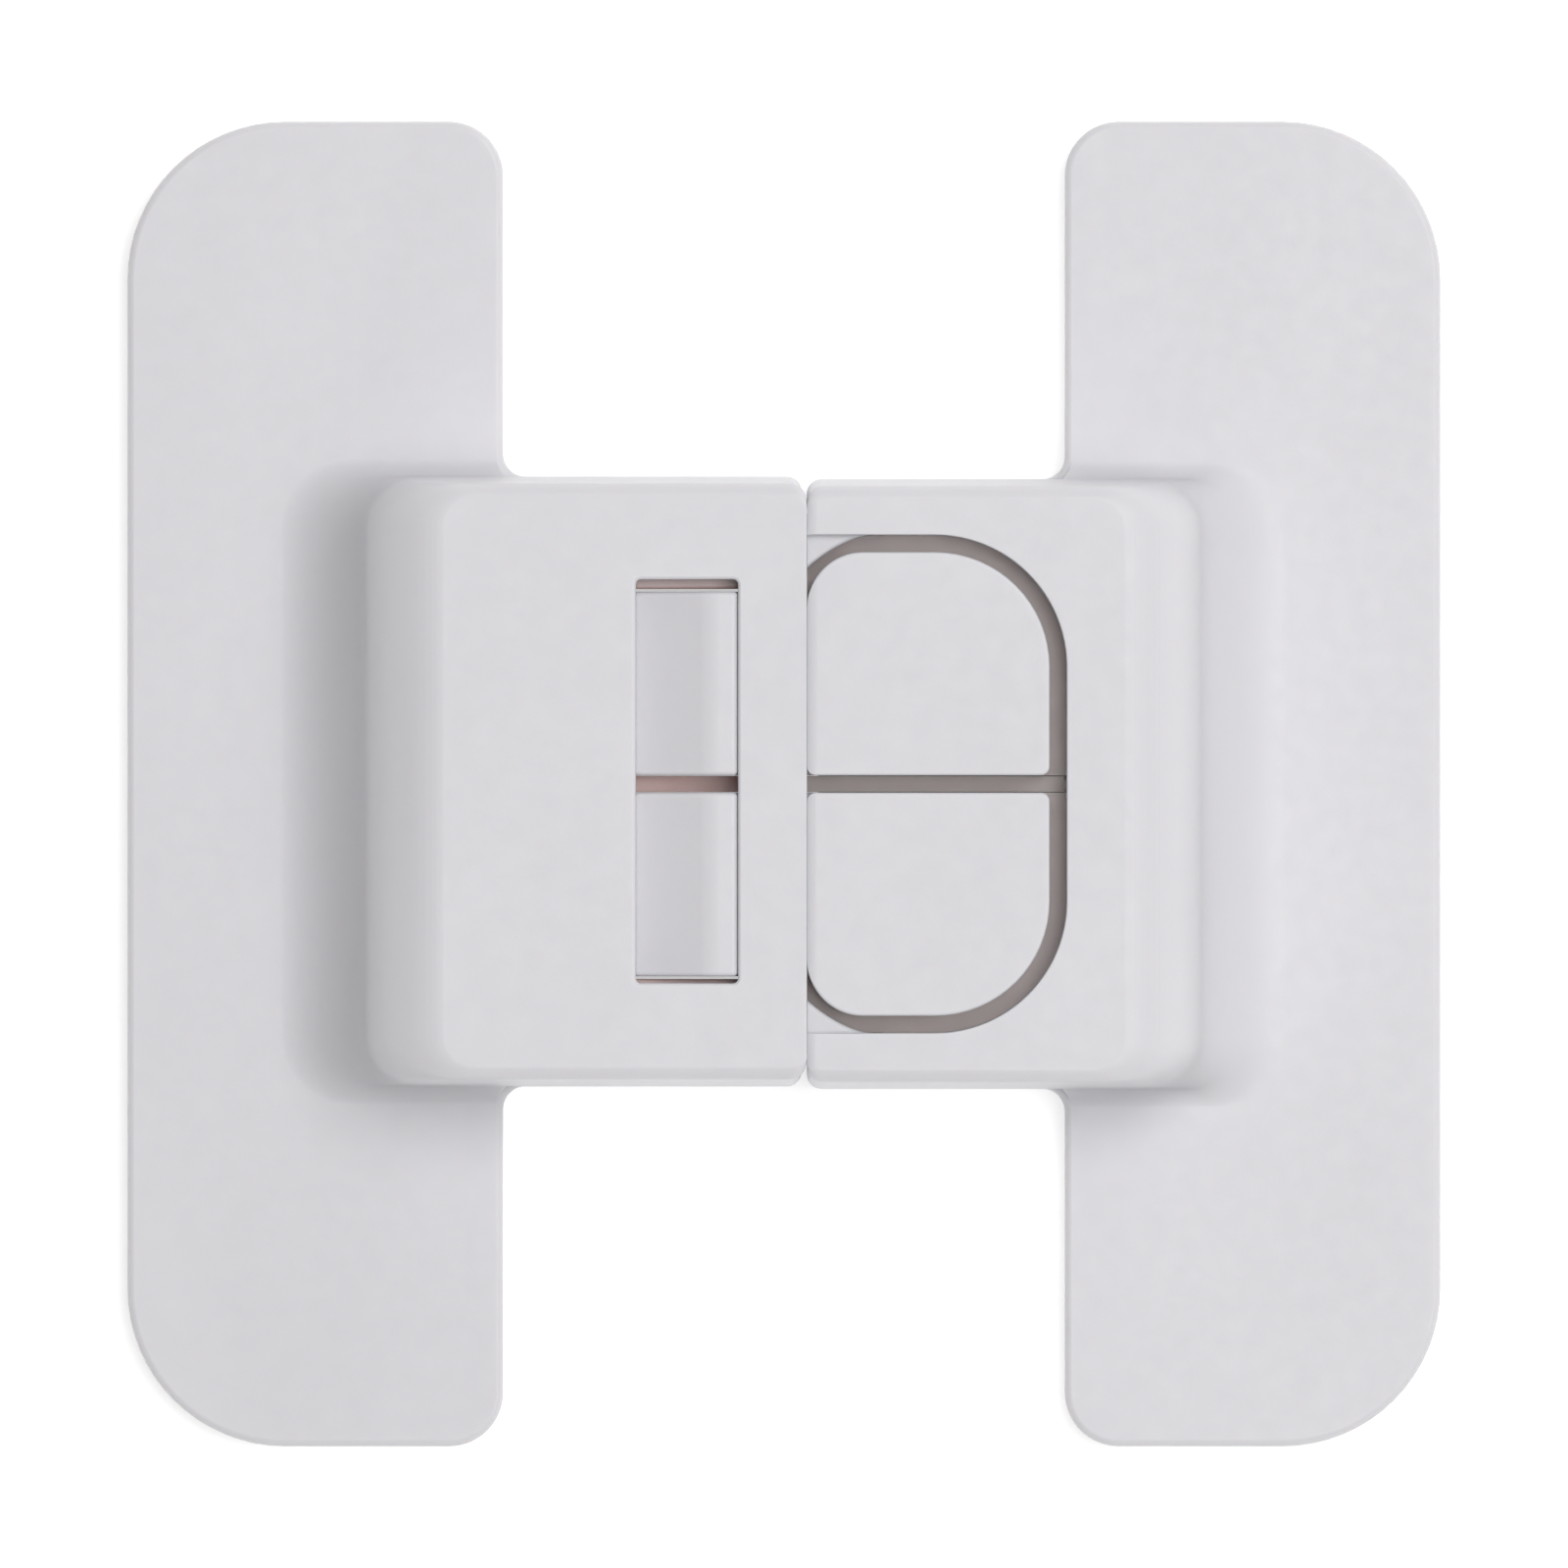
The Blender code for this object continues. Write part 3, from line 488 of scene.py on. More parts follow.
class Sheet:
    """A material's node tree, built node by node."""

    def __init__(self, name: str) -> None:
        """Starts a material with its shader and Object coordinates.

        Args:
            name: The material's name.
        """
        self.material = bpy.data.materials.new(name)
        self.material.use_nodes = True
        self.tree = self.material.node_tree
        self.shader = self.tree.nodes["Principled BSDF"]
        self.where = self.tree.nodes.new("ShaderNodeTexCoord").outputs["Object"]

    def _fill(self, node: bpy.types.Node, inputs: dict) -> bpy.types.Node:
        """Sets or links a node's inputs.

        Args:
            node: The node.
            inputs: A value or an output for each input's name or number.

        Returns:
            The node.
        """
        for key, value in inputs.items():
            if isinstance(value, Socket):
                self.tree.links.new(value, node.inputs[key])
            else:
                node.inputs[key].default_value = value
        return node

    def _add(self, kind: str, inputs: dict) -> bpy.types.Node:
        """Adds a node of a kind and fills its inputs."""
        return self._fill(self.tree.nodes.new(f"ShaderNode{kind}"), inputs)

    def set(self, **values: Socket | float | tuple[float, ...]) -> None:
        """Sets or links the shader's sockets, with underscores for the spaces in their names."""
        self._fill(self.shader, {name.replace("_", " "): value for name, value in values.items()})

    def mapped(self, stretch: Place = (1, 1, 1), turn: float = 0.0) -> Socket:
        """Object coordinates, scaled along each axis and turned about Z by an angle in degrees."""
        inputs = {"Scale": stretch, "Rotation": (0, 0, math.radians(turn)), "Vector": self.where}
        return self._add("Mapping", inputs).outputs["Vector"]

    def noise(self, grain: float, detail: float = 2.0, stretch: Place = (1, 1, 1)) -> Socket:
        """Soft noise about 0.5, in patches of a size in metres."""
        inputs = {"Scale": 1 / grain, "Detail": detail, "Vector": self.mapped(stretch)}
        return self._add("TexNoise", inputs).outputs["Fac"]

    def cells(self, grain: float) -> Socket:
        """Distance to the middle of round cells of a size in metres."""
        return self._add("TexVoronoi", {"Scale": 1 / grain, "Vector": self.where}).outputs["Distance"]

    def bands(self, pitch: float, turn: float) -> Socket:
        """Even ribs at a pitch in metres, turned about Z by an angle in degrees."""
        inputs = {"Scale": WAVE / pitch, "Vector": self.mapped(turn=turn)}
        return self._add("TexWave", inputs).outputs["Fac"]

    def spread(self, value: Socket, low: float, high: float, least: float = 0.3, most: float = 0.7) -> Socket:
        """Maps a span of values, usually the middle of a noise's, onto a range."""
        inputs = {"Value": value, "From Min": least, "From Max": most, "To Min": low, "To Max": high}
        return self._add("MapRange", inputs).outputs["Result"]

    def reckon(self, kind: str, first: Socket, second: Socket | float = 0.0) -> Socket:
        """Works on one or two values.

        Args:
            kind: Blender's name for the operation.
            first: The first value.
            second: The second value, or a number.

        Returns:
            The result.
        """
        node = self._add("Math", {0: first, 1: second})
        node.operation = kind
        return node.outputs[0]

    def blend(self, share: Socket, low: Socket | Colour, high: Colour) -> Socket:
        """Blends two colours.

        Args:
            share: How much of the second one shows.
            low: The first colour.
            high: The second colour.

        Returns:
            The colour.
        """
        node = self._add("Mix", {0: share, 6: low, 7: high})
        node.data_type = "RGBA"
        return node.outputs[2]

    def tints(self, value: Socket, low: Colour, high: Colour) -> Socket:
        """Blends two colours by a noise."""
        return self.blend(self.spread(value, 0, 1), low, high)

    def within(self, zone: PaintedShadeZone, blur: float) -> Socket:
        """How far a point lies inside a zone.

        Args:
            zone: The zone.
            blur: How deep inside it the full value is reached.

        Returns:
            0 outside the zone and 1 well inside it.
        """
        axes = self._add("SeparateXYZ", {0: self.where})
        share = None
        for axis, least, most in zip(axes.outputs, zone.low, zone.high):
            half = (most - least) / 2
            away = self.reckon("ABSOLUTE", self.reckon("SUBTRACT", axis, (least + most) / 2))
            inside = self.spread(away, 0, 1, half, half - blur)
            share = inside if share is None else self.reckon("MULTIPLY", share, inside)
        return share

    def bump(self, *layers: tuple[Socket, float, float]) -> None:
        """Raises the surface by one or more patterns, the first one lowest.

        Args:
            layers: Each pattern with its strength and its height in metres.
        """
        below = {}
        for height, strength, distance in layers:
            inputs = {"Height": height, "Strength": strength, "Distance": distance, **below}
            below = {"Normal": self._add("Bump", inputs).outputs["Normal"]}
        self.set(**below)


@dataclass(frozen=True)
class SatinMoulding:
    """White satin coat on moulded plastic: fine grain, faint flow marks, and painted warm shade in the gaps
    deep inside.
    """

    name: str = "satin_white_moulding"
    light: Colour = (0.690, 0.682, 0.706, 1)
    shade: Colour = (0.670, 0.662, 0.686, 1)
    roughness: Span = (0.44, 0.54)
    worn_patch: float = 1.3 * MM
    grain: float = 0.16 * MM
    grain_bump: Span = (0.2, 0.012 * MM)
    flow: float = 11.0 * MM
    flow_bump: Span = (0.12, 0.05 * MM)
    flow_stretch: Place = (1.0, 0.45, 1.0)
    glow_depth: float = 0.7 * MM
    fade: float = 0.3 * MM
    # Painted shade: boxes deep inside the lock where the colour is painted darker and warmer, softened over
    # the fade above.
    shade_zones: tuple[PaintedShadeZone, ...] = (
        PaintedShadeZone((-0.0120, -0.0143, 0.01405), (0.0014, 0.0143, 0.0165), (0.64, 0.46, 0.43, 1)),
        PaintedShadeZone((0.0012, -0.0180, 0.0080), (0.0240, 0.0180, 0.0165), (0.60, 0.54, 0.53, 1)),
    )

    def material(self) -> bpy.types.Material:
        """Builds the finish.

        Returns:
            The material.
        """
        sheet = Sheet(self.name)
        flow = sheet.noise(self.flow, detail=3.0, stretch=self.flow_stretch)
        colour = sheet.tints(flow, self.shade, self.light)
        # Paints the shade in the gaps, box by box.
        for zone in self.shade_zones:
            colour = sheet.blend(sheet.within(zone, self.fade), colour, zone.tint)
        worn = sheet.noise(self.worn_patch)
        sheet.set(Base_Color=colour, Roughness=sheet.spread(worn, *self.roughness), IOR=1.5)
        sheet.bump((flow, *self.flow_bump), (sheet.noise(self.grain, detail=1.5), *self.grain_bump))
        sheet.set(Subsurface_Weight=0.5, Subsurface_Radius=(1.0, 0.8, 0.72), Subsurface_Scale=self.glow_depth)
        return sheet.material


@dataclass(frozen=True)
class BrightSteel:
    """Drawn or turned steel with fine lines along or round the piece."""

    name: str = "bright_steel_wire"
    light: Colour = (0.66, 0.66, 0.64, 1)
    shade: Colour = (0.50, 0.50, 0.49, 1)
    roughness: Span = (0.22, 0.36)
    blush_patch: float = 0.9 * MM
    line: float = 0.12 * MM
    line_bump: Span = (0.25, 0.01 * MM)
    line_stretch: Place = (1.0, 0.08, 1.0)

    def material(self) -> bpy.types.Material:
        """Builds the finish.

        Returns:
            The material.
        """
        sheet = Sheet(self.name)
        blush = sheet.noise(self.blush_patch, detail=3.0)
        sheet.set(Base_Color=sheet.tints(blush, self.shade, self.light), Metallic=1.0)
        sheet.set(Roughness=sheet.spread(blush, *self.roughness))
        sheet.bump((sheet.noise(self.line, stretch=self.line_stretch), *self.line_bump))
        return sheet.material


@dataclass(frozen=True)
class FoamTape:
    """Closed-cell foam tape, die-cut, with its cells showing."""

    name: str = "foam_tape_cells"
    light: Colour = (0.84, 0.83, 0.78, 1)
    shade: Colour = (0.70, 0.69, 0.63, 1)
    roughness: Span = (0.86, 0.97)
    dust_patch: float = 0.8 * MM
    cell: float = 0.32 * MM
    cell_bump: Span = (0.5, 0.08 * MM)

    def material(self) -> bpy.types.Material:
        """Builds the finish.

        Returns:
            The material.
        """
        sheet = Sheet(self.name)
        cells = sheet.cells(self.cell)
        sheet.set(Base_Color=sheet.tints(cells, self.light, self.shade), Specular_IOR_Level=0.2)
        sheet.set(Roughness=sheet.spread(sheet.noise(self.dust_patch), *self.roughness))
        sheet.bump((cells, *self.cell_bump))
        return sheet.material


@dataclass(frozen=True)
class LinerFilm:
    """Red release film, embossed with a fine diamond so that it peels."""

    name: str = "red_release_film"
    light: Colour = (0.56, 0.055, 0.045, 1)
    shade: Colour = (0.47, 0.040, 0.034, 1)
    roughness: Span = (0.24, 0.34)
    haze_patch: float = 6.0 * MM
    rib_pitch: float = 1.1 * MM
    rib_bump: Span = (0.3, 0.02 * MM)
    rib_turns: Span = (35.0, -35.0)

    def material(self) -> bpy.types.Material:
        """Builds the finish.

        Returns:
            The material.
        """
        sheet = Sheet(self.name)
        haze = sheet.noise(self.haze_patch, detail=3.0)
        sheet.set(Base_Color=sheet.tints(haze, self.shade, self.light), Coat_Weight=0.25, Coat_Roughness=0.12)
        sheet.set(Roughness=sheet.spread(haze, *self.roughness))
        sheet.bump(*((sheet.bands(self.rib_pitch, turn), *self.rib_bump) for turn in self.rib_turns))
        return sheet.material


@dataclass(frozen=True)
class PaleFloor:
    """A plain pale studio table."""

    name: str = "pale_floor"
    light: Colour = (0.93, 0.93, 0.93, 1)
    shade: Colour = (0.915, 0.915, 0.915, 1)
    patch: float = 90.0 * MM
    glow: float = 0.4

    def material(self) -> bpy.types.Material:
        """Builds the finish.

        Returns:
            The material.
        """
        sheet = Sheet(self.name)
        sheet.set(Base_Color=sheet.tints(sheet.noise(self.patch), self.shade, self.light), Roughness=0.9)
        sheet.set(Specular_IOR_Level=0.1, Emission_Color=(1, 1, 1, 1), Emission_Strength=self.glow)
        return sheet.material


@dataclass(frozen=True)
class LockSizes:
    """Places that the frame gives and sizes that the pieces share, in metres."""

    plate_half: float
    plate_outer_x: float
    plate_bottom: float
    top: float
    mouth_x: float
    housing_end_x: float
    cover_low: Vector
    cover_high: Vector
    lever_tip_x: float
    button_top: float
    rail_tip_x: float
    pivot_x: float
    pivot_z: float
    press: float
    plate_width: float = 25.75 * MM
    plate_thickness: float = 2.4 * MM
    plate_outer_radius: float = 10.8 * MM
    plate_inner_radius: float = 3.7 * MM
    neck_fillet: float = 1.6 * MM
    housing_half: float = 20.9 * MM
    wall: float = 2.0 * MM
    seam_gap: float = 0.3 * MM
    gap: float = 0.3 * MM
    lever_thickness: float = 2.8 * MM
    cover_thickness: float = 1.6 * MM
    cover_clearance: float = 0.35 * MM
    screw_reaches: tuple[float, ...] = (5.2 * MM, 16.4 * MM)
    screw_from_wall: float = 1.9 * MM
    spring_from_mouth: float = 9.0 * MM
    peg_radius: float = 1.75 * MM

    @classmethod
    def from_frame(cls) -> "LockSizes":
        """Reads the places from the frame's nodes and joints.

        Returns:
            The sizes.
        """
        receiver_low, receiver_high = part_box("receiver_body")
        latch_low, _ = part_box("latch_body")
        lever_low, lever_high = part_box("upper_latch_lever")
        cover_low, cover_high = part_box("base_cover")
        hinge = next(joint for joint in frame["record"]["behaviour"]["joints"] if joint["type"] == "hinge")
        return cls(
            plate_half=receiver_high[1],
            plate_outer_x=-receiver_low[0],
            plate_bottom=receiver_low[2],
            top=receiver_high[2],
            mouth_x=receiver_high[0],
            housing_end_x=cover_high[0] + cls.cover_clearance + cls.wall,
            cover_low=Vector((receiver_high[0] + cls.seam_gap + cls.cover_clearance, *cover_low[1:])),
            cover_high=Vector(cover_high),
            lever_tip_x=lever_low[0],
            button_top=lever_high[2],
            rail_tip_x=latch_low[0],
            pivot_x=hinge["pos_m"][0],
            pivot_z=hinge["pos_m"][2],
            press=math.radians(hinge["range_deg"][1]),
        )

    @property
    def plate_top(self) -> float:
        """The plates' upper face."""
        return self.plate_bottom + self.plate_thickness

    @property
    def ceiling(self) -> float:
        """The inner side of the housings' tops."""
        return self.top - self.wall

    @property
    def cavity_half(self) -> float:
        """Half the breadth of the housings' hollows."""
        return self.housing_half - self.wall

    @property
    def latch_face_x(self) -> float:
        """The latch's face at the seam."""
        return self.mouth_x + self.seam_gap

    @property
    def lever_top(self) -> float:
        """The level of the levers' arms."""
        return self.ceiling - self.gap

    @property
    def lever_bottom(self) -> float:
        """The underside of the levers' arms."""
        return self.lever_top - self.lever_thickness

    @property
    def cover_top(self) -> float:
        """The inner face of the latch's base cover."""
        return self.plate_bottom + self.cover_thickness

    @property
    def spring_x(self) -> float:
        """The springs' place along X."""
        return self.mouth_x + self.spring_from_mouth

    @property
    def screws(self) -> list[Span]:
        """The cover screws' places."""
        edge = self.cavity_half - self.screw_from_wall
        return [(self.mouth_x + reach, side.value * edge) for side in Side for reach in self.screw_reaches]

    def plate_outline(self, neck: bool = True, offset: float = 0.0) -> Outline:
        """The latch's plate.

        Args:
            neck: Whether it runs in under the housing.
            offset: How far the housing stands towards Y.

        Returns:
            The outline.
        """
        right, half = self.plate_outer_x, self.plate_half
        left = right - self.plate_width
        outer, inner = self.plate_outer_radius, self.plate_inner_radius
        corners = [Corner(right, -half, outer), Corner(right, half, outer), Corner(left, half, inner)]
        if neck:
            side = self.housing_half - SINK
            deep = left - 2 * self.neck_fillet
            low, high = offset - side, offset + side
            corners += [Corner(left, high, self.neck_fillet), Corner(deep, high)]
            corners += [Corner(deep, low), Corner(left, low, self.neck_fillet)]
        corners.append(Corner(left, -half, inner))
        return Outline(tuple(corners), segments=16)


@dataclass(frozen=True)
class HalfShell:
    """One half's plate and raised housing, moulded as a shell, drawn on the latch's side."""

    sizes: LockSizes
    open_x: float
    lean: float = 0.0
    offset: float = 0.0
    end_round: float = 5.4 * MM
    end_rise: float = 7.5 * MM
    end_fillet: float = 5.5 * MM
    foot_out: float = 0.5 * MM
    end_draft: float = 0.8 * MM
    side_draft: float = 0.6 * MM
    side_fillet: float = 1.3 * MM
    top_round: float = 1.0 * MM
    mouth_round: float = 0.08 * MM
    mouth_reach: float = 0.10 * MM
    lip_height: float = 0.3 * MM
    corner_round: float = 3.6 * MM
    inner_round: float = 0.6 * MM
    plate_round: float = 0.5 * MM

    def _section(self, open_x: float, end_inset: float, side_inset: float, corner: float) -> Outline:
        """One level of the housing.

        Args:
            open_x: The end at the seam.
            end_inset: How far the closed end is drawn in.
            side_inset: How far the sides are drawn in.
            corner: The radius of the closed end's corners.

        Returns:
            The level's outline.
        """
        low = self.offset - self.sizes.housing_half + side_inset
        high = self.offset + self.sizes.housing_half - side_inset
        radii = (self.top_round, corner, corner, self.top_round)
        return Outline.box((open_x, low), (self.sizes.housing_end_x - end_inset, high), radii)

    @staticmethod
    def _drawn_in(height: float, top: float, reach: float, rise: float) -> float:
        """How far a rounding of a reach and a rise has drawn in at a height below its top."""
        share = max(0.0, height - (top - rise)) / rise
        return reach * (1 - math.sqrt(max(0.0, 1 - share**2)))

    @staticmethod
    def _stands_out(height: float, foot: float, radius: float) -> float:
        """How far a hollow fillet still stands out from its wall at a height."""
        drop = max(0.0, radius - max(0.0, height - foot))
        return radius - math.sqrt(max(0.0, radius**2 - drop**2))

    def _mouth(self, height: float) -> float:
        """Where the open end stands: it leans out to its lip, which is rounded.

        Args:
            height: The height.

        Returns:
            The place along X.
        """
        share = (height - self.sizes.ceiling) / (self.sizes.wall - self.lip_height)
        lip = self.lean * min(1.0, max(0.0, share))
        return self.open_x - lip + self._drawn_in(height, self.sizes.top, self.mouth_reach, self.mouth_round)

    def _drafted(self, height: float, rise: float) -> float:
        """How much of its draft a wall has taken at a height, from the plate up to a rounding."""
        share = (height - self.sizes.plate_top) / (self.sizes.top - rise - self.sizes.plate_top)
        return min(1.0, max(0.0, share))

    def _end_inset(self, height: float) -> float:
        """How far the closed end has drawn in at a height: by its draft, then by its rounding."""
        drawn = self._drawn_in(height, self.sizes.top, self.end_round, self.end_rise)
        return drawn - self.foot_out + self.end_draft * self._drafted(height, self.end_rise)

    def _side_inset(self, height: float) -> float:
        """How far the sides have drawn in at a height: by their draft, then by their rounding."""
        drawn = self._drawn_in(height, self.sizes.top, self.top_round, self.top_round)
        return drawn + self.side_draft * self._drafted(height, self.top_round)

    @staticmethod
    def _levels(*heights: float) -> list[float]:
        """Puts heights in order.

        Args:
            heights: The heights.

        Returns:
            Those that don't nearly meet the one below.
        """
        kept: list[float] = []
        for height in sorted(heights):
            if not kept or height > kept[-1] + BITE:
                kept.append(height)
        return kept

    def _housing(self) -> Solid:
        """The housing's outer form, rounded over its closed end.

        Returns:
            The form.
        """
        sizes, top = self.sizes, self.sizes.top
        heights = [sizes.plate_bottom + BITE, sizes.plate_top, sizes.ceiling, top - self.lip_height]
        for rise, steps in ((self.end_rise, 24), (self.top_round, 6), (self.mouth_round, 5)):
            heights += climb(top, rise, steps)
        sections = []
        for height in self._levels(*heights):
            mouth, end, side = self._mouth(height), self._end_inset(height), self._side_inset(height)
            sections.append((height, self._section(mouth, end, side, self.corner_round - side)))
        return loft("housing", sections)

    def _skirt(self) -> Solid:
        """The hollow fillet at the housing's foot, kept to what lies over the plate.

        Returns:
            The fillet.
        """
        foot = self.sizes.plate_top - BITE
        rises = [foot + self.end_fillet * (1 - math.cos(angle)) for angle in quarter(steps=20)]
        sections = []
        for height in [foot - self.sizes.plate_thickness / 2, *rises]:
            end = self._stands_out(height, foot, self.end_fillet) - self._end_inset(height) - SINK / 2
            side = self._stands_out(height, foot, self.side_fillet) - self._side_inset(height) - SINK / 2
            corner = self.corner_round + min(end, side)
            sections.append((height, self._section(self.open_x, -end, -side, corner)))
        plate = self.sizes.plate_outline(offset=self.offset)
        ceiling = self.sizes.plate_top + self.end_fillet + self.side_fillet
        rim = plate.grown(-self.plate_round)
        drawn = plate.grown(-2 * self.plate_round)
        prism = loft("prism", [(self.sizes.plate_bottom, rim), (self.sizes.plate_top, rim), (ceiling, drawn)])
        return loft("skirt", sections).keep(prism)

    def _hollow(self) -> Solid:
        """The space inside the housing, open below and at the seam.

        Returns:
            The cutter.
        """
        ceiling = self.sizes.ceiling
        radius = self.end_round - self.sizes.wall
        roundings = climb(ceiling, radius, steps=16) + climb(ceiling, self.inner_round, steps=5)
        past = self.open_x - 3 * self.top_round
        sections = []
        for height in self._levels(self.sizes.plate_bottom - CUT, *roundings):
            end = self.sizes.wall + self._drawn_in(height, ceiling, radius, radius)
            side = self.sizes.wall + self._drawn_in(height, ceiling, self.inner_round, self.inner_round)
            sections.append((height, self._section(past, end, side, self.top_round)))
        return loft("hollow", sections)

    def build(self, name: str) -> Solid:
        """Moulds the shell.

        Args:
            name: The piece's name.

        Returns:
            The shell, with its hollow but no openings.
        """
        low, high = self.sizes.plate_bottom, self.sizes.plate_top
        outline = self.sizes.plate_outline(offset=self.offset)
        plate = outline.solid(name, low, high, self.plate_round / 2, self.plate_round)
        return plate.join(self._skirt(), self._housing()).cut(self._hollow())


@dataclass(frozen=True)
class ButtonPlan:
    """The buttons' plan, which the opening and the tongue rails follow."""

    sizes: LockSizes
    length: float = 16.49 * MM
    breadth: float = 15.185 * MM
    seam_inset: float = 0.10 * MM
    roll_reach: float = 0.75 * MM
    roll_drop: float = 0.17 * MM
    gap: float = 1.17 * MM
    centre_gap: float = 1.17 * MM
    front_radius: float = 3.8 * MM
    back_radius: float = 7.8 * MM
    inner_radius: float = 0.6 * MM
    lever_breadth: float = 12.5 * MM
    flange_start: float = 5.15 * MM

    @property
    def left(self) -> float:
        """The buttons' edge at the seam."""
        return self.sizes.mouth_x - self.seam_inset

    @property
    def right(self) -> float:
        """The buttons' edge towards the pivot."""
        return self.left + self.length

    @property
    def inner(self) -> float:
        """The upper button's edge at the middle."""
        return self.centre_gap / 2

    @property
    def outer(self) -> float:
        """The upper button's outer edge."""
        return self.inner + self.breadth

    @property
    def lever_end(self) -> float:
        """Where the levers' arms end, under the buttons."""
        return self.right - 2 * self.gap

    @property
    def lever_outer(self) -> float:
        """The outer side of the upper lever's arm."""
        return self.inner + self.lever_breadth

    @property
    def lever_middle(self) -> float:
        """The middle of the upper lever's arm."""
        return self.inner + self.lever_breadth / 2

    def roll(self, top: float) -> Solid:
        """The cutter that rolls off the latch's and the buttons' edge at the seam.

        Args:
            top: The height of the face that rolls off.

        Returns:
            The cutter.
        """
        radius = (self.roll_reach**2 + self.roll_drop**2) / (2 * self.roll_drop)
        half = self.sizes.housing_half
        x = self.left + self.roll_reach
        z = top - radius
        corner = block("roll", (self.left - CUT, -half - CUT, z + radius / 2), (x, half + CUT, top + CUT))
        return corner.cut(rod("edge", radius, (x, -half - 2 * CUT, z), (x, half + 2 * CUT, z)))

    def button(self) -> Outline:
        """The upper button."""
        radii = (self.inner_radius, self.inner_radius, self.back_radius, self.front_radius)
        return Outline.box((self.left, self.inner), (self.right, self.outer), radii, segments=16)

    def opening(self) -> Outline:
        """The opening that both buttons stand in, open past the seam.

        Returns:
            The outline.
        """
        edge = self.outer + self.gap
        radius = self.back_radius + self.gap
        low = (self.sizes.latch_face_x - CUT, -edge)
        return Outline.box(low, (self.right + self.gap, edge), (0, radius, radius, 0), segments=24)

    def flange(self, lip: float) -> Outline:
        """The upper button's flange, which stops it under the housing's top and stands out by a lip."""
        low, high = (self.left + self.flange_start, self.inner), (self.right + lip, self.outer + lip)
        return Outline.box(low, high, (0, self.inner_radius, self.back_radius + lip, 0), segments=16)


@dataclass(frozen=True)
class Maker:
    """What the makers of pieces share."""

    sizes: LockSizes
    finishes: dict[Slot, bpy.types.Material]

    def dress(self, solid: Solid, slot: Slot, body: Body, node: str) -> bpy.types.Object:
        """Gives a piece its material and puts it in its node's place.

        Args:
            solid: The finished piece.
            slot: The piece's material slot.
            body: The body that it rides on.
            node: The frame's node that it stands for.

        Returns:
            The piece's object.
        """
        piece = solid.obj
        piece.data.materials.clear()
        piece.data.materials.append(self.finishes[slot])
        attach(piece, body.value)
        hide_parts(node)
        LOG.info("%s: %d faces, rides on %s", piece.name, len(piece.data.polygons), body.value)
        return piece


@dataclass(frozen=True)
class Receiver(Maker):
    """The receiver half's shell, with the window that the hooks show in."""

    window_length: float = 6.95 * MM
    window_half: float = 13.74 * MM
    window_from_mouth: float = 4.8 * MM
    window_corner: float = 0.35 * MM
    offset: float = 0.18 * MM
    rim_round: float = 0.26 * MM
    mouth_inset: float = 0.47 * MM
    lip: float = 0.36 * MM

    def build(self) -> None:
        """Builds and dresses the shell."""
        mouth = self.sizes.mouth_x - self.mouth_inset
        shell = HalfShell(self.sizes, -mouth, self.lip, self.offset).build("receiver_shell").reflect(x=-1)
        right = self.sizes.mouth_x - self.window_from_mouth
        low = (right - self.window_length, self.offset - self.window_half)
        window = Outline.box(low, (right, self.offset + self.window_half), [self.window_corner] * 4)
        shell.cut(window.pierce("window", self.sizes.ceiling - CUT, self.sizes.top, self.rim_round))
        self.dress(shell.smooth(), Slot.MOULDING, Body.RECEIVER, "receiver_body")


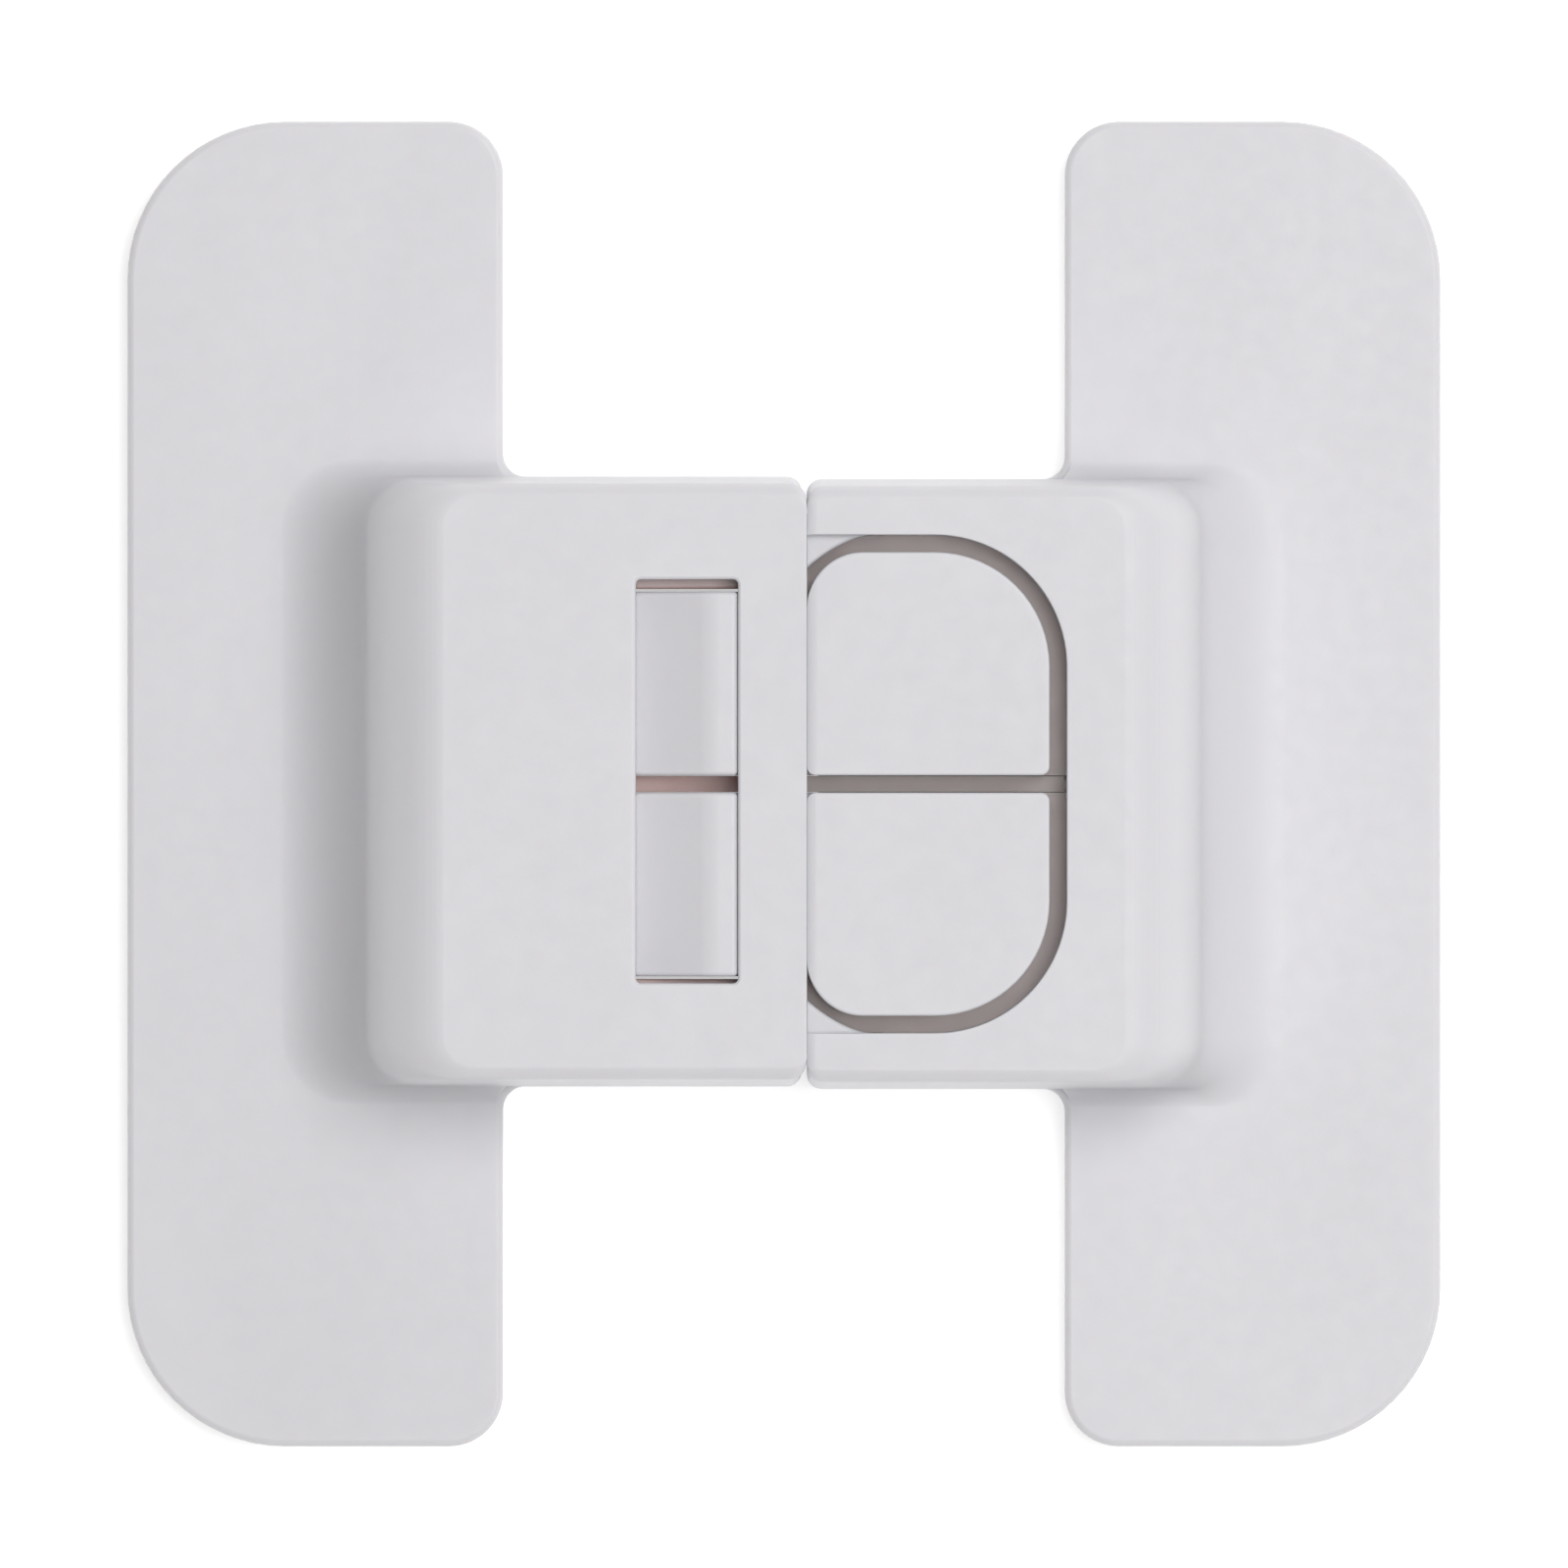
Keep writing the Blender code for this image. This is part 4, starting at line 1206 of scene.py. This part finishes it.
@dataclass(frozen=True)
class Latch(Maker):
    """The latch half's shell: opening, tongue rails, pin hangers and screw bosses."""

    plan: ButtonPlan
    rail_wall: float = 1.0 * MM
    rail_clearance: float = 0.45 * MM
    rail_tip_round: float = 0.8 * MM
    throat_gap: float = 0.2 * MM
    flare_from_mouth: float = 1.8 * MM
    flare_slope: float = 0.87
    flare_round: float = 8.4 * MM
    shelf_drop: float = 0.4 * MM
    shoulder: float = 1.3 * MM
    pin_bore: float = 1.1 * MM
    hanger_bite: float = 0.15 * MM
    hanger_length: float = 4.2 * MM
    centre_hanger: float = 2.4 * MM
    side_hanger: float = 3.4 * MM
    hanger_reach: float = 2.4 * MM
    boss_radius: float = 2.15 * MM
    boss_length: float = 7.5 * MM
    pilot_radius: float = 0.95 * MM
    rim_round: float = 0.14 * MM

    def _rail(self) -> Iterable[Solid]:
        """The upper tongue rail: a shelf that flares round the button, a wall and its root in the housing.

        Returns:
            The rail's parts.
        """
        outer = self.sizes.cavity_half - self.rail_clearance
        inner = self.plan.lever_outer + self.throat_gap
        edge = self.plan.outer + self.plan.gap
        tip = self.sizes.rail_tip_x
        raised_top = self.sizes.lever_top + self.shoulder
        top = self.sizes.lever_top - self.shelf_drop
        flare = self.sizes.mouth_x + self.flare_from_mouth
        root_x = self.plan.left + self.plan.flange_start - 2 * self.sizes.gap
        corners = (
            Corner(tip, inner, self.rail_tip_round),
            Corner(flare - (edge - inner) * self.flare_slope, inner),
            Corner(flare, edge, self.flare_round),
            Corner(root_x, edge),
            Corner(root_x, outer),
            Corner(tip, outer, self.rail_tip_round),
        )
        shelf = Outline(corners, segments=14)
        foot = self.sizes.cover_top + 2 * self.sizes.gap
        ease = self.rail_wall / 4
        yield shelf.solid("shelf", top - self.rail_wall, top, ease, ease)
        raised = shelf.solid("shoulder", top - ease, raised_top, 0.0, ease)
        stop_low = (self.plan.left + BITE, inner - CUT, top - CUT)
        yield raised.keep(block("stop", stop_low, (root_x + CUT, outer + CUT, raised_top + CUT)))
        wall_low = (tip + ease, outer - self.rail_wall, foot)
        yield block("rail", wall_low, (root_x, outer - BITE, top - self.rail_wall / 2), ease)
        root_low = (self.sizes.latch_face_x + CUT, outer - self.rail_wall / 2, foot + self.sizes.gap)
        root_high = (root_x - self.sizes.gap, self.sizes.cavity_half + CUT, top - self.rail_wall / 4)
        yield block("root", root_low, root_high)

    def _hangers(self) -> Iterable[Solid]:
        """The three ribs that carry the pivot pin.

        Returns:
            The ribs.
        """
        edge = self.sizes.cavity_half
        wide = edge + self.hanger_bite
        half = self.centre_hanger / 2
        low_x = self.sizes.pivot_x - self.hanger_length / 2
        high_x = self.sizes.pivot_x + self.hanger_length / 2
        low_z = self.sizes.pivot_z - self.hanger_reach
        high_z = self.sizes.ceiling + self.hanger_bite
        for low, high in ((-half, half), (edge - self.side_hanger, wide), (-wide, self.side_hanger - edge)):
            yield block("hanger", (low_x, low, low_z), (high_x, high, high_z))

    def _pin_slot(self) -> Solid:
        """The round-topped slot that the pin is pushed up into.

        Returns:
            The cutter.
        """
        x, bore = self.sizes.pivot_x, self.pin_bore
        low, high = (x - bore, self.sizes.plate_bottom), (x + bore, self.sizes.pivot_z + bore)
        outline = Outline.box(low, high, (0, 0, bore - BITE, bore - BITE), segments=12)
        return outline.standing("pin_slot", -self.sizes.cavity_half, self.sizes.cavity_half)

    def build(self) -> None:
        """Builds and dresses the shell."""
        shell = HalfShell(self.sizes, self.plan.left).build("latch_shell")
        opening = self.plan.opening()
        shell.cut(opening.pierce("opening", self.sizes.ceiling - CUT, self.sizes.top, self.rim_round))
        shell.cut(self.plan.roll(self.sizes.top))
        shell.join(*self._rail())
        shell.join(*(piece.reflect(y=-1) for piece in self._rail()))
        shell.join(*self._hangers()).cut(self._pin_slot())
        foot = self.sizes.cover_top + self.sizes.gap
        head = foot + self.boss_length
        for x, y in self.sizes.screws:
            shell.join(rod("boss", self.boss_radius, (x, y, foot), (x, y, head), self.rim_round))
            shell.cut(rod("pilot", self.pilot_radius, (x, y, foot - CUT), (x, y, head - CUT)))
        self.dress(shell.smooth(), Slot.MOULDING, Body.LATCH, "latch_body")


@dataclass(frozen=True)
class Lever(Maker):
    """One latch lever: button, arm, ramped hook, flange, pivot barrel and spring peg."""

    plan: ButtonPlan
    side: Side
    hook_depth: float = 0.25 * MM
    hook_from_mouth: float = 4.81 * MM
    crest: float = 1.9 * MM
    ramp: float = 5.8 * MM
    hook_round: float = 0.4 * MM
    heel_round: float = 0.3 * MM
    crest_round: float = 4.0 * MM
    ramp_round: float = 6.0 * MM
    nose_round: float = 0.9 * MM
    chin_round: float = 0.5 * MM
    flange_lip: float = 2.1 * MM
    flange_floor: float = 0.7 * MM
    skirt_lip: float = 1.25 * MM
    barrel_radius: float = 2.2 * MM
    barrel_inner: float = 1.6 * MM
    barrel_outer: float = 15.1 * MM
    bore: float = 1.1 * MM
    peg_length: float = 1.5 * MM
    edge_round: float = 0.3 * MM
    button_round: float = 0.18 * MM

    def _arm(self, name: str) -> Solid:
        """The arm's side view made solid: nose, long ramp, hook crest and locking face.

        Args:
            name: The solid's name.

        Returns:
            The arm.
        """
        bottom, top = self.sizes.lever_bottom, self.sizes.lever_top
        hook_top = self.sizes.top - self.hook_depth
        face = self.sizes.mouth_x - self.hook_from_mouth
        crest_left = face - self.crest
        tip = self.sizes.lever_tip_x
        end = self.plan.lever_end
        corners = (
            Corner(tip, bottom, self.chin_round),
            Corner(end, bottom),
            Corner(end, top),
            Corner(face, top, self.heel_round),
            Corner(face, hook_top, self.hook_round),
            Corner(crest_left, hook_top, self.crest_round),
            Corner(crest_left - self.ramp, top, self.ramp_round),
            Corner(tip, top, self.nose_round),
        )
        side_view = Outline(corners, segments=12)
        return side_view.standing(name, self.plan.inner, self.plan.lever_outer, self.edge_round)

    def _flange(self) -> Iterable[Solid]:
        """The stop under the housing's top and the skirt that is the floor of the gap round the button.

        Returns:
            The stop and the skirt.
        """
        high = self.sizes.lever_top + BITE
        low = self.sizes.lever_bottom
        floor = low + self.flange_floor
        ease = self.edge_round / 2
        button = self.plan.button()
        groove = button.grown(self.plan.gap).solid("groove", floor, high + CUT)
        yield self.plan.flange(self.flange_lip).solid("flange", low + SINK, high, ease, ease).cut(groove)
        skirt = button.grown(self.skirt_lip).solid("skirt", low + 2 * SINK, floor - SINK, ease, ease)
        middle = block("middle", (0, -CUT, low - CUT), (self.plan.right + CUT, self.plan.inner + SINK, high))
        yield skirt.cut(middle)

    def build(self) -> None:
        """Builds and dresses the lever."""
        bottom, gap = self.sizes.lever_bottom, self.sizes.gap
        x, z = self.sizes.pivot_x, self.sizes.pivot_z
        ease = self.edge_round
        lever = self._arm(f"{self.side.label}_lever")
        top = self.sizes.button_top
        button = self.plan.button().solid("button", bottom + gap, top, 0.0, self.button_round)
        lever.join(button.cut(self.plan.roll(top)))
        lever.join(*self._flange())
        knuckle_low = (self.plan.lever_end, self.barrel_inner + ease, z - self.barrel_radius + ease)
        knuckle_high = (x, self.barrel_outer - ease, bottom + self.flange_floor - 2 * SINK)
        lever.join(block("knuckle", knuckle_low, knuckle_high))
        ends = ((x, self.barrel_inner, z), (x, self.barrel_outer, z))
        lever.join(rod("barrel", self.barrel_radius, *ends, ease))
        peg_x, peg_y = self.sizes.spring_x, self.plan.lever_middle
        peg_ends = ((peg_x, peg_y, bottom - self.peg_length), (peg_x, peg_y, bottom + gap))
        lever.join(rod("peg", self.sizes.peg_radius, *peg_ends, ease))
        lever.cut(rod("bore", self.bore, (x, 0, z), (x, self.barrel_outer + CUT, z)))
        lever.reflect(y=self.side.value).smooth()
        self.dress(lever, Slot.MOULDING, self.side.body, f"{self.side.label}_latch_lever")


@dataclass(frozen=True)
class ReturnSpring(Maker):
    """A compression spring under one button, with closed end turns."""

    plan: ButtonPlan
    side: Side
    radius: float = 2.5 * MM
    wire: float = 0.5 * MM
    turns: float = 7.5
    end_pitch: float = 1.0 * MM
    seat_gap: float = 0.1 * MM
    tilt_room: float = 0.16 * MM
    steps: int = 28
    facets: int = 12

    def _wound(self, low: float, rise: float) -> bmesh.types.BMesh:
        """Winds the wire round the Z axis.

        Args:
            low: Where the wire's middle starts.
            rise: How far it climbs.

        Returns:
            The spring's shape.
        """
        middle_turns = self.turns - 2
        middle_pitch = (rise - 2 * self.end_pitch) / middle_turns
        bm = bmesh.new()
        ring = bmesh.ops.create_circle(bm, segments=self.facets, radius=self.wire / 2)["verts"]
        bmesh.ops.rotate(bm, cent=(0, 0, 0), matrix=Matrix.Rotation(math.radians(90), 3, "X"), verts=ring)
        bmesh.ops.translate(bm, vec=(self.radius, 0, low), verts=ring)
        last: list = list(bm.verts) + list(bm.edges)
        rims = [list(bm.edges)]
        for turns, pitch in ((1.0, self.end_pitch), (middle_turns, middle_pitch), (1.0, self.end_pitch)):
            steps = round(turns * self.steps)
            around = {"cent": (0, 0, 0), "axis": (0, 0, 1), "angle": 2 * math.pi * turns}
            wound = bmesh.ops.spin(bm, geom=last, dvec=(0, 0, turns * pitch / steps), steps=steps, **around)
            last = wound["geom_last"]
        rims.append([item for item in last if isinstance(item, bmesh.types.BMEdge)])
        for rim in rims:
            bmesh.ops.contextual_create(bm, geom=rim)
        return bm

    def build(self) -> None:
        """Winds and dresses the spring at rest; it is drawn rigid, though the real one squashes as its button
        is pressed.
        """
        x, y, foot = self.sizes.spring_x, self.side.value * self.plan.lever_middle, self.sizes.cover_top
        height = self.sizes.lever_bottom - foot
        rise = height - 2 * self.seat_gap - self.tilt_room - self.wire
        wound = self._wound(foot + self.seat_gap + self.wire / 2, rise)
        spring = Solid(f"{self.side.label}_spring", wound).shift(x, y, 0)
        spring.obj.data.shade_smooth()
        piece = self.dress(spring, Slot.STEEL, Body.LATCH, f"{self.side.label}_return_spring")
        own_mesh(piece)


@dataclass(frozen=True)
class LatchInside(Maker):
    """The base cover with its posts, the four cover screws and the pivot pin."""

    plan: ButtonPlan
    post_gap: float = 1.29 * MM
    pin_radius: float = 1.0 * MM
    pin_clearance: float = 0.1 * MM
    keeper_half: float = 1.2 * MM
    cover_round: float = 0.8 * MM
    screw_radius: float = 0.85 * MM
    screw_length: float = 6.5 * MM
    screw_tip: float = 0.4
    head_radius: float = 1.9 * MM
    head_depth: float = 1.0 * MM
    head_rim: float = 0.12 * MM
    recess_arm: float = 1.0 * MM
    recess_half: float = 0.25 * MM
    recess_depth: float = 0.7 * MM
    clearance: float = 0.2 * MM
    web_clearance: float = 0.03 * MM
    web_drop: float = 2.4 * MM
    web_depth: float = 3.0 * MM
    web_foot_from_mouth: float = 6.6 * MM
    web_foot_length: float = 12.0 * MM
    web_rounds: tuple[float, float, float] = (0.8 * MM, 0.4 * MM, 1.2 * MM)
    ease: float = 0.25 * MM

    def _web(self, foot: float) -> Solid:
        """The web that keeps the levers apart: a foot on the cover and an arm out to the rails' tips.

        Args:
            foot: Where the foot begins, inside the cover.

        Returns:
            The web.
        """
        top = self.sizes.lever_top - self.web_drop
        under = top - self.web_depth
        left = self.sizes.mouth_x + self.web_foot_from_mouth
        right = left + self.web_foot_length
        tip = self.sizes.rail_tip_x
        heel, nose, crook = self.web_rounds
        corners = (
            Corner(left, foot),
            Corner(right, foot),
            Corner(right, top, heel),
            Corner(tip, top, nose),
            Corner(tip, under, nose),
            Corner(left, under, crook),
        )
        half = self.plan.inner - self.web_clearance
        return Outline(corners).standing("web", -half, half, self.web_clearance)

    def _cover(self) -> Solid:
        """The plate that closes the latch from behind.

        Returns:
            The cover.
        """
        outline = Outline.box(self.sizes.cover_low, self.sizes.cover_high, [self.cover_round] * 4)
        bottom = self.sizes.plate_bottom
        cover = outline.solid("latch_base", bottom, self.sizes.cover_top, self.ease, self.ease)
        foot = bottom + self.sizes.gap
        x, post_top = self.sizes.spring_x, self.sizes.lever_bottom - Lever.peg_length - self.post_gap
        for side in Side:
            y = side.value * self.plan.lever_middle
            cover.join(rod("post", self.sizes.peg_radius, (x, y, foot), (x, y, post_top), self.ease))
        cover.join(self._web(foot))
        x, reach = self.sizes.pivot_x, self.pin_radius
        keeper_top = self.sizes.pivot_z - reach - self.pin_clearance
        edge = self.sizes.cavity_half - Latch.side_hanger / 2
        for y in (-edge, 0, edge):
            high = (x + reach, y + self.keeper_half, keeper_top)
            cover.join(block("keeper", (x - reach, y - self.keeper_half, foot), high, self.ease))
        hole = self.screw_radius + self.clearance
        sink = self.head_radius + self.clearance
        depth = self.sizes.cover_top - bottom + CUT
        profile = ((0, depth), (hole, depth), (hole, self.head_depth), (sink, 0), (sink, -CUT), (0, -CUT))
        for x, y in self.sizes.screws:
            cover.cut(turned("screw_hole", profile).shift(x, y, bottom))
        return cover

    def _screw(self, number: int, x: float, y: float) -> Solid:
        """A countersunk tapping screw with a cross recess.

        Args:
            number: The screw's number.
            x: Its place along X.
            y: Its place along Y.

        Returns:
            The screw.
        """
        radius, length = self.screw_radius, self.screw_length
        profile = (
            (0, length),
            (radius * self.screw_tip, length),
            (radius, length - radius),
            (radius, self.head_depth),
            (self.head_radius, self.head_rim),
            (self.head_radius - self.head_rim, 0),
            (0, 0),
        )
        arm, half, deep = self.recess_arm, self.recess_half, self.recess_depth
        screw = turned(f"base_screw_{number}", profile)
        recess = block("recess", (-arm, -half, -CUT), (arm, half, deep))
        recess.join(block("across", (-half, -arm, -2 * CUT), (half, arm, deep - BITE)))
        return screw.cut(recess).shift(x, y, self.sizes.plate_bottom + self.clearance / 2)

    def _pin(self) -> Solid:
        """The pivot pin, with chamfered ends.

        Returns:
            The pin.
        """
        reach = self.sizes.cavity_half - self.sizes.gap
        radius, ease = self.pin_radius, self.ease
        profile = ((0, reach), (radius - ease, reach), (radius, reach - ease))
        profile += ((radius, ease - reach), (radius - ease, -reach), (0, -reach))
        return turned("lever_pin", profile).upright().shift(self.sizes.pivot_x, 0, self.sizes.pivot_z)

    def build(self) -> None:
        """Builds and dresses the pieces."""
        self.dress(self._cover().smooth(), Slot.MOULDING, Body.LATCH, "base_cover")
        self.dress(self._pin().smooth(), Slot.STEEL, Body.LATCH, "pivot_pin")
        for number, (x, y) in enumerate(self.sizes.screws, start=1):
            screw = self._screw(number, x, y).smooth()
            self.dress(screw, Slot.STEEL, Body.LATCH, f"cover_screw_{number}")


@dataclass(frozen=True)
class StickPad(Maker):
    """The foam pad under one plate and the release film under the pad."""

    body: Body
    inset: float = 0.9 * MM
    waist: float = 0.12 * MM
    layers: int = 8

    @staticmethod
    def _span(node: str) -> Span:
        """A node's lowest and highest place along Z."""
        low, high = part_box(node)
        return low[2], high[2]

    def _outline(self, inset: float) -> Outline:
        """The plate's outline on this half's side, drawn in by an inset."""
        outline = self.sizes.plate_outline(neck=False).grown(-inset)
        return outline.mirrored() if self.body is Body.RECEIVER else outline

    def build(self) -> None:
        """Builds and dresses the pad and the film."""
        label = "receiver" if self.body is Body.RECEIVER else "latch"
        pad_node, film_node = f"{label}_foam_pad", f"{label}_release_liner"
        low, high = self._span(pad_node)
        sections = []
        for step in range(self.layers + 1):
            share = step / self.layers
            waist = self.waist * math.sin(math.pi * share)
            sections.append((low + (high - low) * share, self._outline(self.inset + waist)))
        pad = loft(f"{label}_pad", sections).smooth()
        self.dress(pad, Slot.FOAM, self.body, pad_node)
        low, high = self._span(film_node)
        ease = (high - low) / 4
        film = self._outline(self.inset).solid(f"{label}_film", low, high, ease, ease).smooth()
        self.dress(film, Slot.FILM, self.body, film_node)


@dataclass(frozen=True)
class Lamp:
    """A soft area light aimed at the lock."""

    name: str
    place: Place
    size: float
    power: float

    def build(self) -> None:
        """Hangs the light."""
        data = bpy.data.lights.new(self.name, "AREA")
        data.shape = "SQUARE"
        data.size = self.size
        data.energy = self.power
        lamp = bpy.data.objects.new(self.name, data)
        lamp.location = self.place
        lamp.rotation_euler = (-Vector(self.place)).to_track_quat("-Z", "Y").to_euler()
        lamp.visible_camera = False
        bpy.context.scene.collection.objects.link(lamp)


@dataclass(frozen=True)
class Studio:
    """A pale table, soft light from the right and above, and a camera that looks straight down."""

    picture_width: float = 107.0 * MM
    camera_height: float = 2.0
    camera_far: float = 10.0
    sensor_width: float = 36.0
    focus_height: float = 12.0 * MM
    floor_size: float = 3.0
    floor_drop: float = 0.02 * MM
    sky: float = 0.34
    lamps: tuple[Lamp, ...] = (
        Lamp("overhead_box", (0.28, 0.12, 1.10), 0.70, 8.9),
        Lamp("side_box", (0.60, 0.85, 0.34), 0.50, 1.1),
        Lamp("fill_box", (0.15, -1.00, 0.42), 0.50, 0.7),
    )

    def _table(self) -> None:
        """Lays the table under the lock."""
        bm = bmesh.new()
        bmesh.ops.create_grid(bm, x_segments=1, y_segments=1, size=self.floor_size / 2)
        bmesh.ops.translate(bm, vec=(0, 0, -self.floor_drop), verts=bm.verts)
        mesh = bpy.data.meshes.new("table")
        bm.to_mesh(mesh)
        bm.free()
        table = bpy.data.objects.new("table", mesh)
        mesh.materials.append(PaleFloor().material())
        bpy.context.scene.collection.objects.link(table)
        table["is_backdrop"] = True

    def _camera(self) -> None:
        """Sets the camera over the middle of the lock."""
        data = bpy.data.cameras.new("camera")
        data.sensor_width = self.sensor_width
        data.lens = self.sensor_width * (self.camera_height - self.focus_height) / self.picture_width
        data.clip_end = self.camera_far
        camera = bpy.data.objects.new("camera", data)
        camera.location = (0, 0, self.camera_height)
        bpy.context.scene.collection.objects.link(camera)
        bpy.context.scene.camera = camera

    def build(self) -> None:
        """Sets up the table, the light and the camera."""
        self._table()
        for lamp in self.lamps:
            lamp.build()
        world = bpy.data.worlds.new("studio")
        world.use_nodes = True
        backdrop = world.node_tree.nodes["Background"]
        backdrop.inputs["Color"].default_value = (1.0, 1.0, 1.0, 1.0)
        backdrop.inputs["Strength"].default_value = self.sky
        bpy.context.scene.world = world
        bpy.context.scene.view_settings.view_transform = "Standard"
        self._camera()


def write_sizes() -> None:
    """Gathers the frame's box and the dressed lock's box into a table that is not kept."""
    boxes = {"cad": CAD_BOX, "visual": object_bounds()}
    {name: [list(corner) for corner in box] for name, box in boxes.items()}


def main() -> None:
    """Builds the lock's pieces in order, then the studio."""
    logging.basicConfig(level=logging.INFO, format="%(name)s: %(message)s")
    sizes = LockSizes.from_frame()
    plan = ButtonPlan(sizes)
    finishes = {
        Slot.MOULDING: SatinMoulding().material(),
        Slot.STEEL: BrightSteel().material(),
        Slot.FOAM: FoamTape().material(),
        Slot.FILM: LinerFilm().material(),
    }
    Receiver(sizes, finishes).build()
    Latch(sizes, finishes, plan).build()
    for side in Side:
        Lever(sizes, finishes, plan, side).build()
        ReturnSpring(sizes, finishes, plan, side).build()
    LatchInside(sizes, finishes, plan).build()
    for body in (Body.RECEIVER, Body.LATCH):
        StickPad(sizes, finishes, body).build()
    Studio().build()
    write_sizes()


if __name__ == "__main__":
    main()
